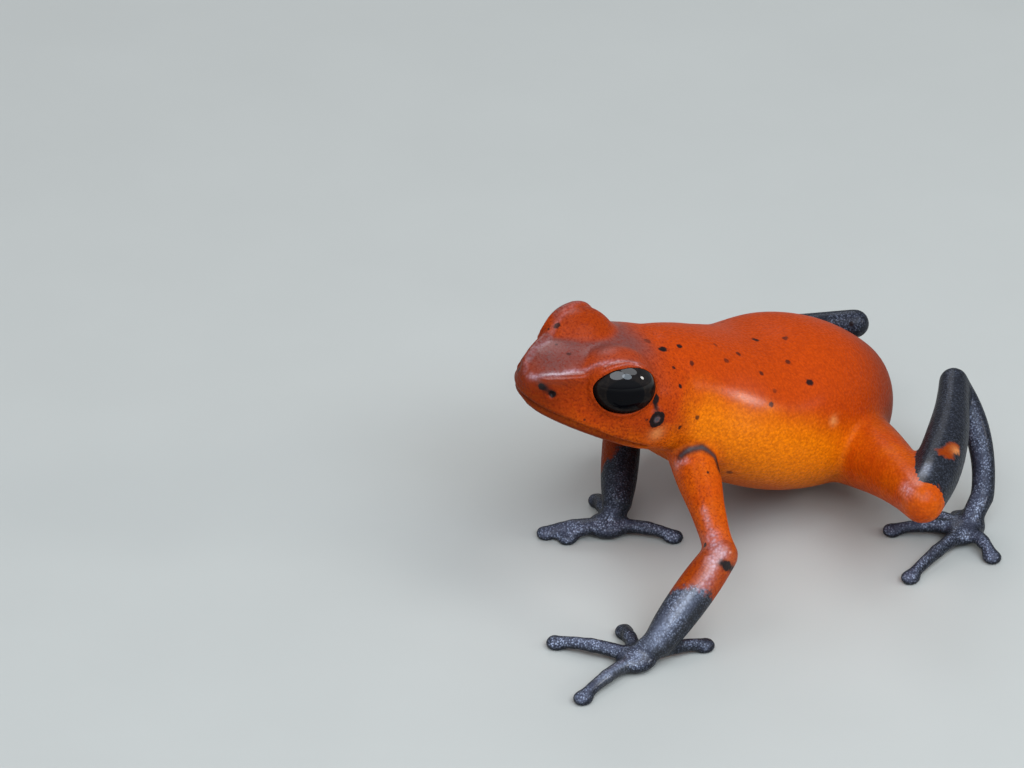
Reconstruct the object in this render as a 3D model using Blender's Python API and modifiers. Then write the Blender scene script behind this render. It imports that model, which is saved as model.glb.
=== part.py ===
"""A strawberry poison dart frog at life size, alert, with its left arm stretched out to the side.

Run with: blender --background --python part.py

The flesh is modelled whole, in millimetres, from a few lofts, tubes and ellipsoids that are fused
by a voxel remesh. Thin cutters then part it at the joints into the pieces that a person would name.
The frog faces -Y, its left side is at +X, +Z is up, and it stands on the plane z = 0.
"""
import math

import bmesh
import bpy
import numpy as np
from mathutils import Matrix, Vector

# Driving sizes, in millimetres and degrees.
MM = 0.001
NECK = Vector((0.0, 0.0, 8.2))
NECK_STATION = 7.0
HEAD_PITCH = 22.5
HEAD_TURN = -3.0
HEAD_ROLL = 9.0
TRUNK_PITCH = 27.0
JOINT_GAP = 0.3
EYE_GAP = 0.16
VOXEL = 0.12
# A piece is made lighter in a few tries: with points merged that are nearer than the sliver's
# width, and with a share more triangles each time.
SLIVERS = (0.0001, 0.015, 0.03)
DECIMATE_TRIES = 5
DECIMATE_STEP = 0.05
LOFT_SEGMENTS = (56, 48)
EVEN_STEPS = 3
DRAW_STEPS = 26

# Head sections: distance behind the snout tip, half width, top, widest line and underside.
HEAD_SECTIONS = (
    (0.50, 0.86, 0.40, -0.30, -0.96),
    (0.95, 1.14, 0.62, -0.38, -1.20),
    (1.5, 1.54, 0.96, -0.48, -1.40),
    (2.4, 2.16, 1.42, -0.56, -1.56),
    (3.6, 2.72, 1.88, -0.60, -1.66),
    (4.8, 3.05, 2.12, -0.62, -1.78),
    (6.0, 3.18, 2.22, -0.62, -1.90),
    (7.4, 3.10, 2.24, -0.50, -2.05),
    (9.4, 2.70, 2.10, -0.40, -2.00),
)
HEAD_ROUND = (0.9, 2.6)
HEAD_BOXINESS = 2.5

# Trunk sections, measured along the trunk's own axis from the same zero.
TRUNK_SECTIONS = (
    (4.8, 2.30, 1.75, -0.40, -1.60),
    (7.0, 2.95, 2.55, -0.50, -2.20),
    (8.6, 3.35, 2.80, -0.45, -2.65),
    (10.4, 3.82, 2.90, -0.40, -3.05),
    (12.4, 4.22, 3.15, -0.35, -3.28),
    (14.2, 4.35, 3.98, -0.25, -3.28),
    (16.0, 4.15, 4.25, -0.05, -3.05),
    (17.8, 3.65, 4.12, 0.25, -2.70),
    (19.6, 2.90, 3.62, 0.40, -2.25),
    (21.5, 2.10, 2.80, 0.35, -1.70),
)
TRUNK_ROUND = (2.2, 2.6)
TRUNK_BOXINESS = 2.15

EYE_CENTRE = Vector((1.50, 4.00, 1.12))
EYE_RADIUS = 0.95
EYE_AXIS = Vector((0.90, -0.40, 0.03))
# How far the opening's rear corner is turned up, in degrees.
EYE_TILT = 8.0
EYE_OPENING = (1.34, 1.00)
CORNEA_OUT = 0.76
CORNEA_DEPTH = 0.80
# The plug that opens the lids: its radii as shares of the opening, its length and its middle.
LID_PLUG = (0.93, 1.16, 2.15, 1.28)
LID_CENTRE = Vector((1.46, 3.90, 0.96))
LID_SIZE = (1.56, 1.72, 1.52)
NOSTRIL = Vector((1.04, 1.24, -0.12))
NOSTRIL_PIT = (0.34, 0.20, 0.15)
NOSTRIL_RIM = (0.22, 0.26, 0.24)
# Points and radii of the ridge from the nostril to the eye.
CANTHUS = (
    (Vector((0.64, 0.88, 0.10)), 0.22),
    (Vector((1.06, 1.5, 0.48)), 0.27),
    (Vector((1.60, 2.5, 0.98)), 0.34),
)
MOUTH_LINE = ((0.0, -0.94), (1.2, -0.95), (2.6, -0.95), (4.2, -1.05), (5.7, -1.13))
MOUTH_SPREAD = 1.8
MOUTH_GROOVE = 0.11
# Height of each lip over the mouth line, how far it is set in, and its thickness.
LIPS = ((0.20, 0.10, 0.13), (-0.22, 0.10, 0.13))
TYMPANUM = Vector((3.00, 5.45, 0.30))
TYMPANUM_SIZE = (0.20, 0.40, 0.40)

# Joints of the limbs and tips of the digits, first digit first. An arm's root is where it leaves the trunk.
SHOULDER = Vector((2.50, 0.75, 5.85))
HIP = Vector((1.70, 9.84, 2.95))
LEFT_ARM = {
    "root": 2.15,
    "elbow": Vector((7.00, -1.30, 3.85)),
    "wrist": Vector((7.25, -4.70, 1.00)),
    "palm": Vector((6.95, -5.50, 0.42)),
    "tips": (
        Vector((4.82, -4.55, 0.20)),
        Vector((3.80, -7.42, 0.20)),
        Vector((7.72, -9.05, 0.20)),
        Vector((7.68, -2.45, 0.20)),
    ),
}
RIGHT_ARM = {
    "root": 2.95,
    "elbow": Vector((-5.75, 3.80, 2.75)),
    "wrist": Vector((-1.95, 0.45, 1.30)),
    "palm": Vector((-1.75, -0.05, 0.42)),
    "tips": (
        Vector((0.40, 1.80, 0.20)),
        Vector((-2.30, -2.05, 0.20)),
        Vector((-3.15, -2.55, 0.20)),
        Vector((-3.95, 0.95, 0.20)),
    ),
}
LEFT_LEG = {
    "knee": Vector((9.75, 7.35, 4.65)),
    "heel": Vector((4.05, 14.15, 5.40)),
    "ankle": Vector((7.05, 13.45, 1.35)),
    "sole": Vector((7.60, 12.20, 0.45)),
    "tips": (
        Vector((6.35, 12.75, 0.20)),
        Vector((5.55, 11.55, 0.20)),
        Vector((5.45, 9.65, 0.20)),
        Vector((8.80, 7.80, 0.20)),
        Vector((9.70, 11.75, 0.20)),
    ),
}
RIGHT_LEG = {
    "knee": Vector((-9.60, 8.30, 1.90)),
    "heel": Vector((-3.10, 14.75, 4.80)),
    "ankle": Vector((-6.10, 14.20, 1.35)),
    "sole": Vector((-6.80, 13.05, 0.45)),
    "tips": (
        Vector((-5.55, 13.55, 0.20)),
        Vector((-4.85, 12.40, 0.20)),
        Vector((-4.95, 10.60, 0.20)),
        Vector((-8.20, 8.80, 0.20)),
        Vector((-9.00, 12.65, 0.20)),
    ),
}

# Limb thickness: distance along the bone as a share of its length, and the radius there.
UPPER_ARM_RADII = ((0.0, 1.05), (0.25, 0.98), (0.6, 0.74), (0.85, 0.66), (1.0, 0.74))
FOREARM_RADII = ((0.0, 0.76), (0.25, 0.84), (0.6, 0.84), (0.85, 0.76), (1.0, 0.66))
THIGH_RADII = ((0.0, 1.90), (0.3, 1.62), (0.6, 1.28), (0.85, 1.02), (1.0, 0.92))
SHANK_RADII = ((0.0, 0.90), (0.25, 1.04), (0.55, 0.94), (0.85, 0.72), (1.0, 0.66))
TARSUS_RADII = ((0.0, 0.62), (0.3, 0.60), (0.8, 0.52), (1.0, 0.52))
# How far a segment's middle stands off the straight line between its joints, outwards, back and up.
THIGH_BOW = Vector((0.0, 0.25, 0.1))
SHANK_BOW = Vector((0.25, 0.2, 0.0))
TARSUS_BOW = Vector((0.3, 0.35, 0.1))
DIGIT_RADIUS = 0.29
DIGIT_ARCH = 0.16
DISC_SIZE = (0.44, 0.48, 0.28)
# A hand or foot: radii and rise of its root, half sizes and forward shift of the palm or sole, how
# far out the digits start, and which digit is the longest.
HAND = {
    "radii": (0.58, 0.55, 0.5),
    "rise": 0.08,
    "pad": (0.86, 0.95, 0.46),
    "ahead": 0.1,
    "start": 0.45,
    "longest": 2,
}
FOOT = {
    "radii": (0.52, 0.5, 0.46),
    "rise": 0.1,
    "pad": (0.74, 1.15, 0.44),
    "ahead": 0.2,
    "start": 0.4,
    "longest": 3,
}

# Where a joint is parted: how far along its limb or axis, and the radius of the parting disc.
SHOULDER_CUT_RADIUS = 1.90
WRIST_CUT = (0.75, 1.00)
HIP_CUT = (3.70, 2.60)
NECK_CUT = (7.35, 4.60)
# At a bend the cut is a slab: its reach into the bend, its reach outwards and its half height.
ELBOW_CUT = (2.9, 1.4, 1.6)
KNEE_CUT = (5.3, 1.6, 1.8)
HEEL_CUT = (3.2, 1.1, 1.1)
ANKLE_CUT = (0.9, 0.9, 0.9)

TRIANGLES = {
    "head": 2600,
    "torso": 1500,
    "upper_arm": 260,
    "forearm": 280,
    "hand": 900,
    "thigh": 340,
    "shank": 320,
    "tarsus": 170,
    "foot": 1100,
}

ORANGE = (0.62, 0.07, 0.01)
FLANK = (0.70, 0.16, 0.01)
BLUE_BLACK = (0.02, 0.022, 0.04)
BLACK = (0.005, 0.005, 0.006)
COLOURS = {
    "head": ORANGE,
    "torso": FLANK,
    "upper_arm": ORANGE,
    "forearm": BLUE_BLACK,
    "hand": BLUE_BLACK,
    "thigh": ORANGE,
    "shank": BLUE_BLACK,
    "tarsus": BLUE_BLACK,
    "foot": BLUE_BLACK,
    "eye": BLACK,
}


def turn(axis, degrees):
    return Matrix.Rotation(math.radians(degrees), 4, axis)


HEAD_FRAME = (
    Matrix.Translation(NECK)
    @ turn("Z", HEAD_TURN)
    @ turn("X", -HEAD_PITCH)
    @ turn("Y", HEAD_ROLL)
    @ Matrix.Translation((0.0, -NECK_STATION, 0.0))
)
TRUNK_FRAME = (
    Matrix.Translation(NECK)
    @ turn("X", -TRUNK_PITCH)
    @ Matrix.Translation((0.0, -NECK_STATION, 0.0))
)


def mirrored(point, side):
    """The point on the given side: 1 is the frog's left and -1 its right."""
    return Vector((point.x * side, point.y, point.z))


def smooth_row(rows, at):
    """The row of a table at one place, on a smooth curve through its rows."""
    table = np.array(rows, float)
    place = table[:, 0]
    slope = np.gradient(table, place, axis=0)
    at = min(max(at, place[0]), place[-1])
    i = min(int(np.searchsorted(place, at, side="right")) - 1, len(place) - 2)
    span = place[i + 1] - place[i]
    t = (at - place[i]) / span
    start = (1 + 2 * t) * (1 - t) ** 2 * table[i] + t * (1 - t) ** 2 * span * slope[i]
    end = t * t * (3 - 2 * t) * table[i + 1] + t * t * (t - 1) * span * slope[i + 1]
    return start + end


def section(rows, rounding, at):
    """Half width, top, widest line and underside at a station, drawn in to round ends."""
    _, width, top, middle, bottom = smooth_row(rows, at)
    front, back = rounding
    nose = min(1.0, (at - rows[0][0]) / front)
    tail = min(1.0, (rows[-1][0] - at) / back)
    shrink = math.sqrt(max(0.0, 1 - (1 - nose) ** 2)) * math.sqrt(max(0.0, 1 - (1 - tail) ** 2))
    return width * shrink, middle + (top - middle) * shrink, middle, middle + (bottom - middle) * shrink


def link(obj):
    bpy.context.scene.collection.objects.link(obj)
    return obj


def object_from(bm, name):
    mesh = bpy.data.meshes.new(name)
    bm.to_mesh(mesh)
    bm.free()
    return link(bpy.data.objects.new(name, mesh))


def loft(name, rows, rounding, boxiness, frame):
    """A UV sphere reshaped so that each ring is the body's section at its station."""
    bm = bmesh.new()
    bmesh.ops.create_uvsphere(bm, u_segments=LOFT_SEGMENTS[0], v_segments=LOFT_SEGMENTS[1], radius=1.0)
    start = rows[0][0]
    length = rows[-1][0] - start
    for vert in bm.verts:
        at = start + length * (1 - vert.co.z) / 2
        width, top, middle, bottom = section(rows, rounding, at)
        ring = math.hypot(vert.co.x, vert.co.y)
        across = vert.co.x / ring if ring > 1e-6 else 0.0
        rise = vert.co.y / ring if ring > 1e-6 else 0.0
        reach = top - middle if rise > 0 else middle - bottom
        x = width * math.copysign(abs(across) ** (2 / boxiness), across)
        z = middle + reach * math.copysign(abs(rise) ** (2 / boxiness), rise)
        vert.co = frame @ Vector((x, at, z))
    bmesh.ops.recalc_face_normals(bm, faces=bm.faces)
    return object_from(bm, name)


def head_side(at, height):
    """How far the head's side stands from its middle plane at a station and a height."""
    width, top, middle, bottom = section(HEAD_SECTIONS, HEAD_ROUND, at)
    reach = top - middle if height > middle else middle - bottom
    rise = min(1.0, abs(height - middle) / max(reach, 1e-6))
    return width * (1 - rise**HEAD_BOXINESS) ** (1 / HEAD_BOXINESS)


def ellipsoid(name, centre, size, frame, segments=24):
    """An ellipsoid with its half sizes along the frame's own axes."""
    bm = bmesh.new()
    place = frame @ Matrix.Translation(centre) @ Matrix.Diagonal((*size, 1.0))
    bmesh.ops.create_uvsphere(bm, u_segments=segments, v_segments=segments // 2, radius=1.0, matrix=place)
    bmesh.ops.recalc_face_normals(bm, faces=bm.faces)
    return object_from(bm, name)


def mesh_of(curve_object):
    """The curve's surface as a mesh object with welded caps. The curve is removed."""
    evaluated = curve_object.evaluated_get(bpy.context.evaluated_depsgraph_get())
    mesh = bpy.data.meshes.new_from_object(evaluated)
    bm = bmesh.new()
    bm.from_mesh(mesh)
    bmesh.ops.remove_doubles(bm, verts=bm.verts, dist=1e-4)
    bmesh.ops.recalc_face_normals(bm, faces=bm.faces)
    bm.to_mesh(mesh)
    bm.free()
    name = curve_object.name
    solid = bpy.data.objects.new(name + "_solid", mesh)
    solid.matrix_world = curve_object.matrix_world
    bpy.data.objects.remove(curve_object)
    return link(solid)


def tube(name, points, radii, resolution=6):
    """A round tube through the points, each with its own radius."""
    curve = bpy.data.curves.new(name, "CURVE")
    curve.dimensions = "3D"
    curve.bevel_depth = 1.0
    curve.bevel_resolution = resolution
    curve.use_fill_caps = True
    spline = curve.splines.new("POLY")
    spline.points.add(len(points) - 1)
    for target, point, radius in zip(spline.points, points, radii):
        target.co = (*point, 1.0)
        target.radius = radius
    tube_object = link(bpy.data.objects.new(name, curve))
    bpy.context.view_layer.update()
    return mesh_of(tube_object)


def bend(start, middle, end, steps=10):
    """Points on the arc-like curve that starts and ends as given and passes through the middle."""
    handle = middle * 2 - (start + end) / 2
    points = []
    for i in range(steps + 1):
        t = i / steps
        points.append(start * (1 - t) ** 2 + handle * 2 * t * (1 - t) + end * t * t)
    return points


def bone(name, start, end, radii, bow=Vector((0.0, 0.0, 0.0))):
    """A limb segment: a tube with the muscles' thickness and a ball at each joint."""
    points = bend(start, (start + end) / 2 + bow, end, 12)
    thickness = [smooth_row(radii, i / 12)[1] for i in range(13)]
    pieces = [tube(name, points, thickness)]
    for place, radius in ((start, radii[0][1]), (end, radii[-1][1])):
        ball = (radius, radius, radius)
        pieces.append(ellipsoid(name + "_ball", place, ball, Matrix.Identity(4)))
    return pieces


def digit(name, root, tip, radius):
    """A finger or toe: it leaves the palm, arches over its middle joint and ends in a disc."""
    lift = Vector((0.0, 0.0, DIGIT_ARCH))
    low = Vector((tip.x, tip.y, tip.z + 0.04))
    points = bend(root, (root + low) / 2 + lift, low, 8)
    thickness = [radius * (1.18 - 0.26 * i / 8) for i in range(9)]
    along = math.degrees(math.atan2(tip.y - root.y, tip.x - root.x)) - 90
    disc_frame = Matrix.Translation(tip) @ turn("Z", along)
    knuckle = (root + low) / 2 + lift * 0.9
    knuckle_size = (radius * 1.22, radius * 1.22, radius * 1.12)
    return [
        tube(name, points, thickness, 4),
        ellipsoid(name + "_disc", Vector((0.0, -0.08, 0.0)), DISC_SIZE, disc_frame),
        ellipsoid(name + "_knuckle", knuckle, knuckle_size, Matrix.Identity(4), 16),
    ]


def paw_pieces(name, joint, pad, tips, form):
    """A hand or foot: its root at the wrist or ankle, the palm or sole, and the digits."""
    rise = Vector((0.0, 0.0, form["rise"]))
    pieces = [tube(name + "_root", [joint, (joint + pad) / 2 + rise, pad], form["radii"])]
    ahead = tips[form["longest"]] - pad
    pad_frame = Matrix.Translation(pad) @ turn("Z", math.degrees(math.atan2(ahead.y, ahead.x)) - 90)
    pieces.append(ellipsoid(name + "_pad", Vector((0.0, form["ahead"], 0.0)), form["pad"], pad_frame))
    for i, tip in enumerate(tips):
        out = (tip - pad).normalized()
        start = pad + Vector((out.x, out.y, 0.0)) * form["start"]
        pieces += digit(f"{name}_digit_{i}", start, tip, DIGIT_RADIUS)
    return pieces


def arm_pieces(side, arm):
    shoulder = mirrored(SHOULDER, side)
    name = f"arm_{side}"
    pieces = bone(name + "_upper", shoulder, arm["elbow"], UPPER_ARM_RADII)
    pieces += bone(name + "_lower", arm["elbow"], arm["wrist"], FOREARM_RADII)
    pieces += paw_pieces(name + "_hand", arm["wrist"], arm["palm"], arm["tips"], HAND)
    return pieces


def leg_pieces(side, leg):
    hip = mirrored(HIP, side)
    name = f"leg_{side}"
    pieces = bone(name + "_thigh", hip, leg["knee"], THIGH_RADII, mirrored(THIGH_BOW, side))
    pieces += bone(name + "_shank", leg["knee"], leg["heel"], SHANK_RADII, mirrored(SHANK_BOW, side))
    pieces += bone(name + "_tarsus", leg["heel"], leg["ankle"], TARSUS_RADII, mirrored(TARSUS_BOW, side))
    pieces += paw_pieces(name + "_foot", leg["ankle"], leg["sole"], leg["tips"], FOOT)
    return pieces


def front_at(height):
    """The station at which the snout's front first reaches a height."""
    near, far = HEAD_SECTIONS[0][0], HEAD_SECTIONS[3][0]
    for _ in range(24):
        middle = (near + far) / 2
        _, top, _, bottom = section(HEAD_SECTIONS, HEAD_ROUND, middle)
        if bottom < height < top:
            far = middle
        else:
            near = middle
    return far


def mouth_points(raise_by, inset, steps=40):
    """Points along the mouth, from the left jaw corner round the snout to the right one."""
    tip = front_at(MOUTH_LINE[0][1] + raise_by)
    points = []
    for i in range(steps + 1):
        t = 2 * i / steps - 1
        at = tip + (MOUTH_LINE[-1][0] - tip) * abs(t) ** MOUTH_SPREAD
        height = smooth_row(MOUTH_LINE, at)[1] + raise_by
        reach = max(0.0, head_side(at, height) - inset)
        points.append(HEAD_FRAME @ Vector((math.copysign(reach, -t), at + inset * (1 - abs(t)), height)))
    return points


def head_pieces():
    pieces = [loft("head_form", HEAD_SECTIONS, HEAD_ROUND, HEAD_BOXINESS, HEAD_FRAME)]
    for raise_by, inset, thickness in LIPS:
        lip = mouth_points(raise_by, inset)
        pieces.append(tube("lip", lip, [thickness] * len(lip), 3))
    for side in (1, -1):
        pieces.append(ellipsoid("lid", mirrored(LID_CENTRE, side), LID_SIZE, HEAD_FRAME, 36))
        pieces.append(ellipsoid("ear", mirrored(TYMPANUM, side), TYMPANUM_SIZE, HEAD_FRAME))
        pieces.append(ellipsoid("nostril_rim", mirrored(NOSTRIL, side), NOSTRIL_RIM, HEAD_FRAME))
        ridge = [HEAD_FRAME @ mirrored(point, side) for point, _ in CANTHUS]
        pieces.append(tube("canthus", ridge, [radius for _, radius in CANTHUS]))
    return pieces


def joined(pieces, name):
    """All the pieces as one mesh object. The pieces are removed."""
    bm = bmesh.new()
    for piece in pieces:
        piece.data.transform(piece.matrix_world)
        bm.from_mesh(piece.data)
        bpy.data.objects.remove(piece)
    return object_from(bm, name)


def applied(obj):
    """The object's mesh with its modifiers made real."""
    bpy.context.view_layer.update()
    mesh = bpy.data.meshes.new_from_object(obj.evaluated_get(bpy.context.evaluated_depsgraph_get()))
    obj.modifiers.clear()
    obj.data = mesh
    return obj


def fuse(obj, voxel):
    """Overlapping pieces made one skin, evened out all over and drawn together where limbs join."""
    remesh = obj.modifiers.new("Fuse", "REMESH")
    remesh.mode = "VOXEL"
    remesh.voxel_size = voxel
    applied(obj)
    # Each joint's place, how far round it the skin is drawn together, and how strongly.
    joints = [(HEAD_FRAME @ Vector((0.0, 8.2, 0.0)), 4.4, 1.0)]
    for side, arm, leg in ((1, LEFT_ARM, LEFT_LEG), (-1, RIGHT_ARM, RIGHT_LEG)):
        joints.append((mirrored(SHOULDER, side), 2.0, 1.0))
        joints.append((mirrored(HIP, side), 3.6, 1.0))
        joints += [(arm["elbow"], 1.2, 0.7), (leg["knee"], 1.5, 0.7), (leg["heel"], 1.2, 0.5)]
        joints.append((HEAD_FRAME @ mirrored(Vector((0.6, 2.9, 1.9)), side), 2.2, 0.9))
        joints.append((HEAD_FRAME @ mirrored(Vector((0.9, 5.8, 2.0)), side), 2.0, 0.9))
    group = obj.vertex_groups.new(name="joints")
    for vert in obj.data.vertices:
        weight = max(share * (1 - (vert.co - place).length / reach) for place, reach, share in joints)
        if weight > 0:
            group.add([vert.index], min(1.0, 1.6 * weight), "REPLACE")
    for label, steps, vertex_group in (("Even", EVEN_STEPS, ""), ("Draw", DRAW_STEPS, "joints")):
        smooth = obj.modifiers.new(label, "SMOOTH")
        smooth.factor = 0.5
        smooth.iterations = steps
        smooth.vertex_group = vertex_group
    return applied(obj)


def disc(name, centre, normal, radius, thickness=JOINT_GAP):
    """A flat round cutter across a joint."""
    bm = bmesh.new()
    aim = normal.to_track_quat("Z", "Y").to_matrix().to_4x4()
    bmesh.ops.create_cone(
        bm,
        cap_ends=True,
        segments=28,
        radius1=radius,
        radius2=radius,
        depth=thickness,
        matrix=Matrix.Translation(centre) @ aim,
    )
    return object_from(bm, name)


def mitre(name, a, b, c, reach):
    """A flat cutter across the bend at b of the path a, b, c, long towards the inside of the bend."""
    before = (b - a).normalized()
    after = (c - b).normalized()
    across = (before + after).normalized()
    inwards = (after - before).normalized()
    sideways = across.cross(inwards)
    deep, out, tall = reach
    place = Matrix((inwards, sideways, across)).transposed().to_4x4()
    centre = b + inwards * (deep - out) / 2
    size = Matrix.Diagonal((deep + out, 2 * tall, JOINT_GAP, 1.0))
    bm = bmesh.new()
    bmesh.ops.create_cube(bm, size=1.0, matrix=Matrix.Translation(centre) @ place @ size)
    return object_from(bm, name)


def joint_cutters():
    axis = HEAD_FRAME.to_3x3() @ Vector((0.0, 1.0, 0.0))
    cutters = [disc("cut_neck", HEAD_FRAME @ Vector((0.0, NECK_CUT[0], 0.0)), axis, NECK_CUT[1])]
    for side, arm, leg in ((1, LEFT_ARM, LEFT_LEG), (-1, RIGHT_ARM, RIGHT_LEG)):
        shoulder = mirrored(SHOULDER, side)
        hip = mirrored(HIP, side)
        upper = (arm["elbow"] - shoulder).normalized()
        lower = (arm["wrist"] - arm["elbow"]).normalized()
        thigh = (leg["knee"] - hip).normalized()
        cutters += [
            disc("cut_shoulder", shoulder + upper * arm["root"], upper, SHOULDER_CUT_RADIUS),
            mitre("cut_elbow", shoulder, arm["elbow"], arm["wrist"], ELBOW_CUT),
            disc("cut_wrist", arm["wrist"] - lower * WRIST_CUT[0], lower, WRIST_CUT[1]),
            disc("cut_hip", hip + thigh * HIP_CUT[0], thigh, HIP_CUT[1]),
            mitre("cut_knee", hip, leg["knee"], leg["heel"], KNEE_CUT),
            mitre("cut_heel", leg["knee"], leg["heel"], leg["ankle"], HEEL_CUT),
            mitre("cut_ankle", leg["heel"], leg["ankle"], leg["sole"], ANKLE_CUT),
        ]
    return cutters


def cut(obj, cutter):
    """The object with one closed cutter taken away. The cutter is removed."""
    modifier = obj.modifiers.new("Cut", "BOOLEAN")
    modifier.operation = "DIFFERENCE"
    modifier.solver = "MANIFOLD"
    modifier.object = cutter
    applied(obj)
    bpy.data.objects.remove(cutter)
    return obj


def surfaces(obj):
    """The object's separate closed surfaces, each as a bmesh, largest first. The object is removed."""
    bm = bmesh.new()
    bm.from_mesh(obj.data)
    bpy.data.objects.remove(obj)
    bm.verts.index_update()
    seen = [False] * len(bm.verts)
    bm.verts.ensure_lookup_table()
    groups = []
    for vert in bm.verts:
        if seen[vert.index]:
            continue
        seen[vert.index] = True
        stack = [vert]
        group = []
        while stack:
            here = stack.pop()
            group.append(here.index)
            for edge in here.link_edges:
                other = edge.other_vert(here)
                if not seen[other.index]:
                    seen[other.index] = True
                    stack.append(other)
        groups.append(set(group))
    found = []
    for group in groups:
        piece = bm.copy()
        piece.verts.ensure_lookup_table()
        bmesh.ops.delete(piece, geom=[v for v in piece.verts if v.index not in group], context="VERTS")
        found.append(piece)
    bm.free()
    return sorted(found, key=lambda piece: -abs(piece.calc_volume(signed=True)))


def largest(obj):
    """The object with only its largest closed surface left."""
    name = obj.name
    pieces = surfaces(obj)
    for scrap in pieces[1:]:
        scrap.free()
    kept = object_from(pieces[0], name)
    kept.name = name
    return kept


def node_places():
    """A point inside each node, by which the parted pieces are named."""
    places = {
        "head": HEAD_FRAME @ Vector((0.0, 3.5, 0.0)),
        "torso": TRUNK_FRAME @ Vector((0.0, 13.5, 0.0)),
    }
    for label, side, arm, leg in (
        ("left", 1, LEFT_ARM, LEFT_LEG),
        ("right", -1, RIGHT_ARM, RIGHT_LEG),
    ):
        shoulder = mirrored(SHOULDER, side)
        hip = mirrored(HIP, side)
        places["upper_arm_" + label] = shoulder.lerp(arm["elbow"], 0.65)
        places["forearm_" + label] = arm["elbow"].lerp(arm["wrist"], 0.45)
        places["hand_" + label] = arm["palm"].copy()
        places["thigh_" + label] = hip.lerp(leg["knee"], 0.66)
        places["shank_" + label] = leg["knee"].lerp(leg["heel"], 0.5)
        places["tarsus_" + label] = leg["heel"].lerp(leg["ankle"], 0.5)
        places["foot_" + label] = leg["sole"].copy()
    return places


def joint_of(name):
    """The joint at which a node hangs on its neighbour, as the node's origin."""
    side = -1 if name.endswith("right") else 1
    arm = LEFT_ARM if side == 1 else RIGHT_ARM
    leg = LEFT_LEG if side == 1 else RIGHT_LEG
    joints = {
        "head": NECK,
        "torso": NECK,
        "upper_arm": mirrored(SHOULDER, side),
        "forearm": arm["elbow"],
        "hand": arm["wrist"],
        "thigh": mirrored(HIP, side),
        "shank": leg["knee"],
        "tarsus": leg["heel"],
        "foot": leg["ankle"],
        "eye": HEAD_FRAME @ mirrored(EYE_CENTRE, side),
    }
    return joints[kind_of(name)]


def kind_of(name):
    return name.removesuffix("_left").removesuffix("_right")


def eye_frame(side):
    """The eye's own frame: X runs back along the opening, Y up across it and Z out of the head."""
    out = mirrored(EYE_AXIS, side).normalized()
    back = Vector((0.0, math.cos(math.radians(EYE_TILT)), math.sin(math.radians(EYE_TILT))))
    back = (back - out * back.dot(out)).normalized()
    up = out.cross(back)
    rows = Matrix((back, up, out)).transposed().to_4x4()
    return HEAD_FRAME @ Matrix.Translation(mirrored(EYE_CENTRE, side)) @ rows


def eye(side, label):
    """The eyeball, with a cornea that fills the opening between the lids."""
    frame = eye_frame(side)
    ball = ellipsoid("ball", Vector((0.0, 0.0, 0.0)), (EYE_RADIUS,) * 3, frame, 20)
    front = (EYE_OPENING[0] - EYE_GAP, EYE_OPENING[1] - EYE_GAP, CORNEA_DEPTH)
    cornea = ellipsoid("cornea", Vector((0.0, 0.0, CORNEA_OUT)), front, frame)
    union = ball.modifiers.new("Join", "BOOLEAN")
    union.operation = "UNION"
    union.object = cornea
    applied(ball)
    bpy.data.objects.remove(cornea)
    ball.name = "eye_" + label
    return ball


def eye_socket(side):
    size = (EYE_RADIUS + EYE_GAP,) * 3
    return ellipsoid("socket", Vector((0.0, 0.0, 0.0)), size, eye_frame(side))


def lid_opening(side):
    """A short oval plug, widening outwards, that opens the lids over the eye."""
    bm = bmesh.new()
    inner, outer, length, middle = LID_PLUG
    stretch = Matrix.Diagonal((EYE_OPENING[0], EYE_OPENING[1], 1.0, 1.0))
    bmesh.ops.create_cone(
        bm,
        cap_ends=True,
        segments=32,
        radius1=inner,
        radius2=outer,
        depth=length,
        matrix=eye_frame(side) @ Matrix.Translation((0.0, 0.0, middle)) @ stretch,
    )
    bmesh.ops.recalc_face_normals(bm, faces=bm.faces)
    return object_from(bm, "opening")


def carve_head(head):
    for side in (1, -1):
        head = cut(head, eye_socket(side))
        head = cut(head, lid_opening(side))
        place = mirrored(NOSTRIL + Vector((0.20, 0.0, 0.0)), side)
        head = cut(head, ellipsoid("pit", place, NOSTRIL_PIT, HEAD_FRAME, 12))
    line = mouth_points(0.0, -0.02)
    head = cut(head, tube("mouth", line, [MOUTH_GROOVE] * len(line), 2))
    return head


def is_closed(mesh):
    """Whether every edge of the mesh has exactly two faces."""
    bm = bmesh.new()
    bm.from_mesh(mesh)
    closed = all(len(edge.link_faces) == 2 for edge in bm.edges)
    bm.free()
    return closed


def decimated(obj, triangles):
    """The piece with about the given number of triangles, in the first way that leaves it closed."""
    whole = obj.data
    count = sum(len(face.vertices) - 2 for face in whole.polygons)
    for more in range(DECIMATE_TRIES):
        for sliver in SLIVERS:
            obj.data = whole
            weld = obj.modifiers.new("Weld", "WELD")
            weld.merge_threshold = sliver
            thin = obj.modifiers.new("Thin", "DECIMATE")
            thin.ratio = min(1.0, triangles * (1 + DECIMATE_STEP * more) / count)
            thin.use_collapse_triangulate = True
            applied(obj)
            if is_closed(obj.data):
                return obj
    raise RuntimeError(f"{obj.name} isn't closed after decimation")


def floor_cutter():
    bm = bmesh.new()
    depth = 4.0
    size = Matrix.Translation((0.0, 4.0, -depth / 2)) @ Matrix.Diagonal((60.0, 60.0, depth, 1.0))
    bmesh.ops.create_cube(bm, size=1.0, matrix=size)
    return object_from(bm, "floor")


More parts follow.
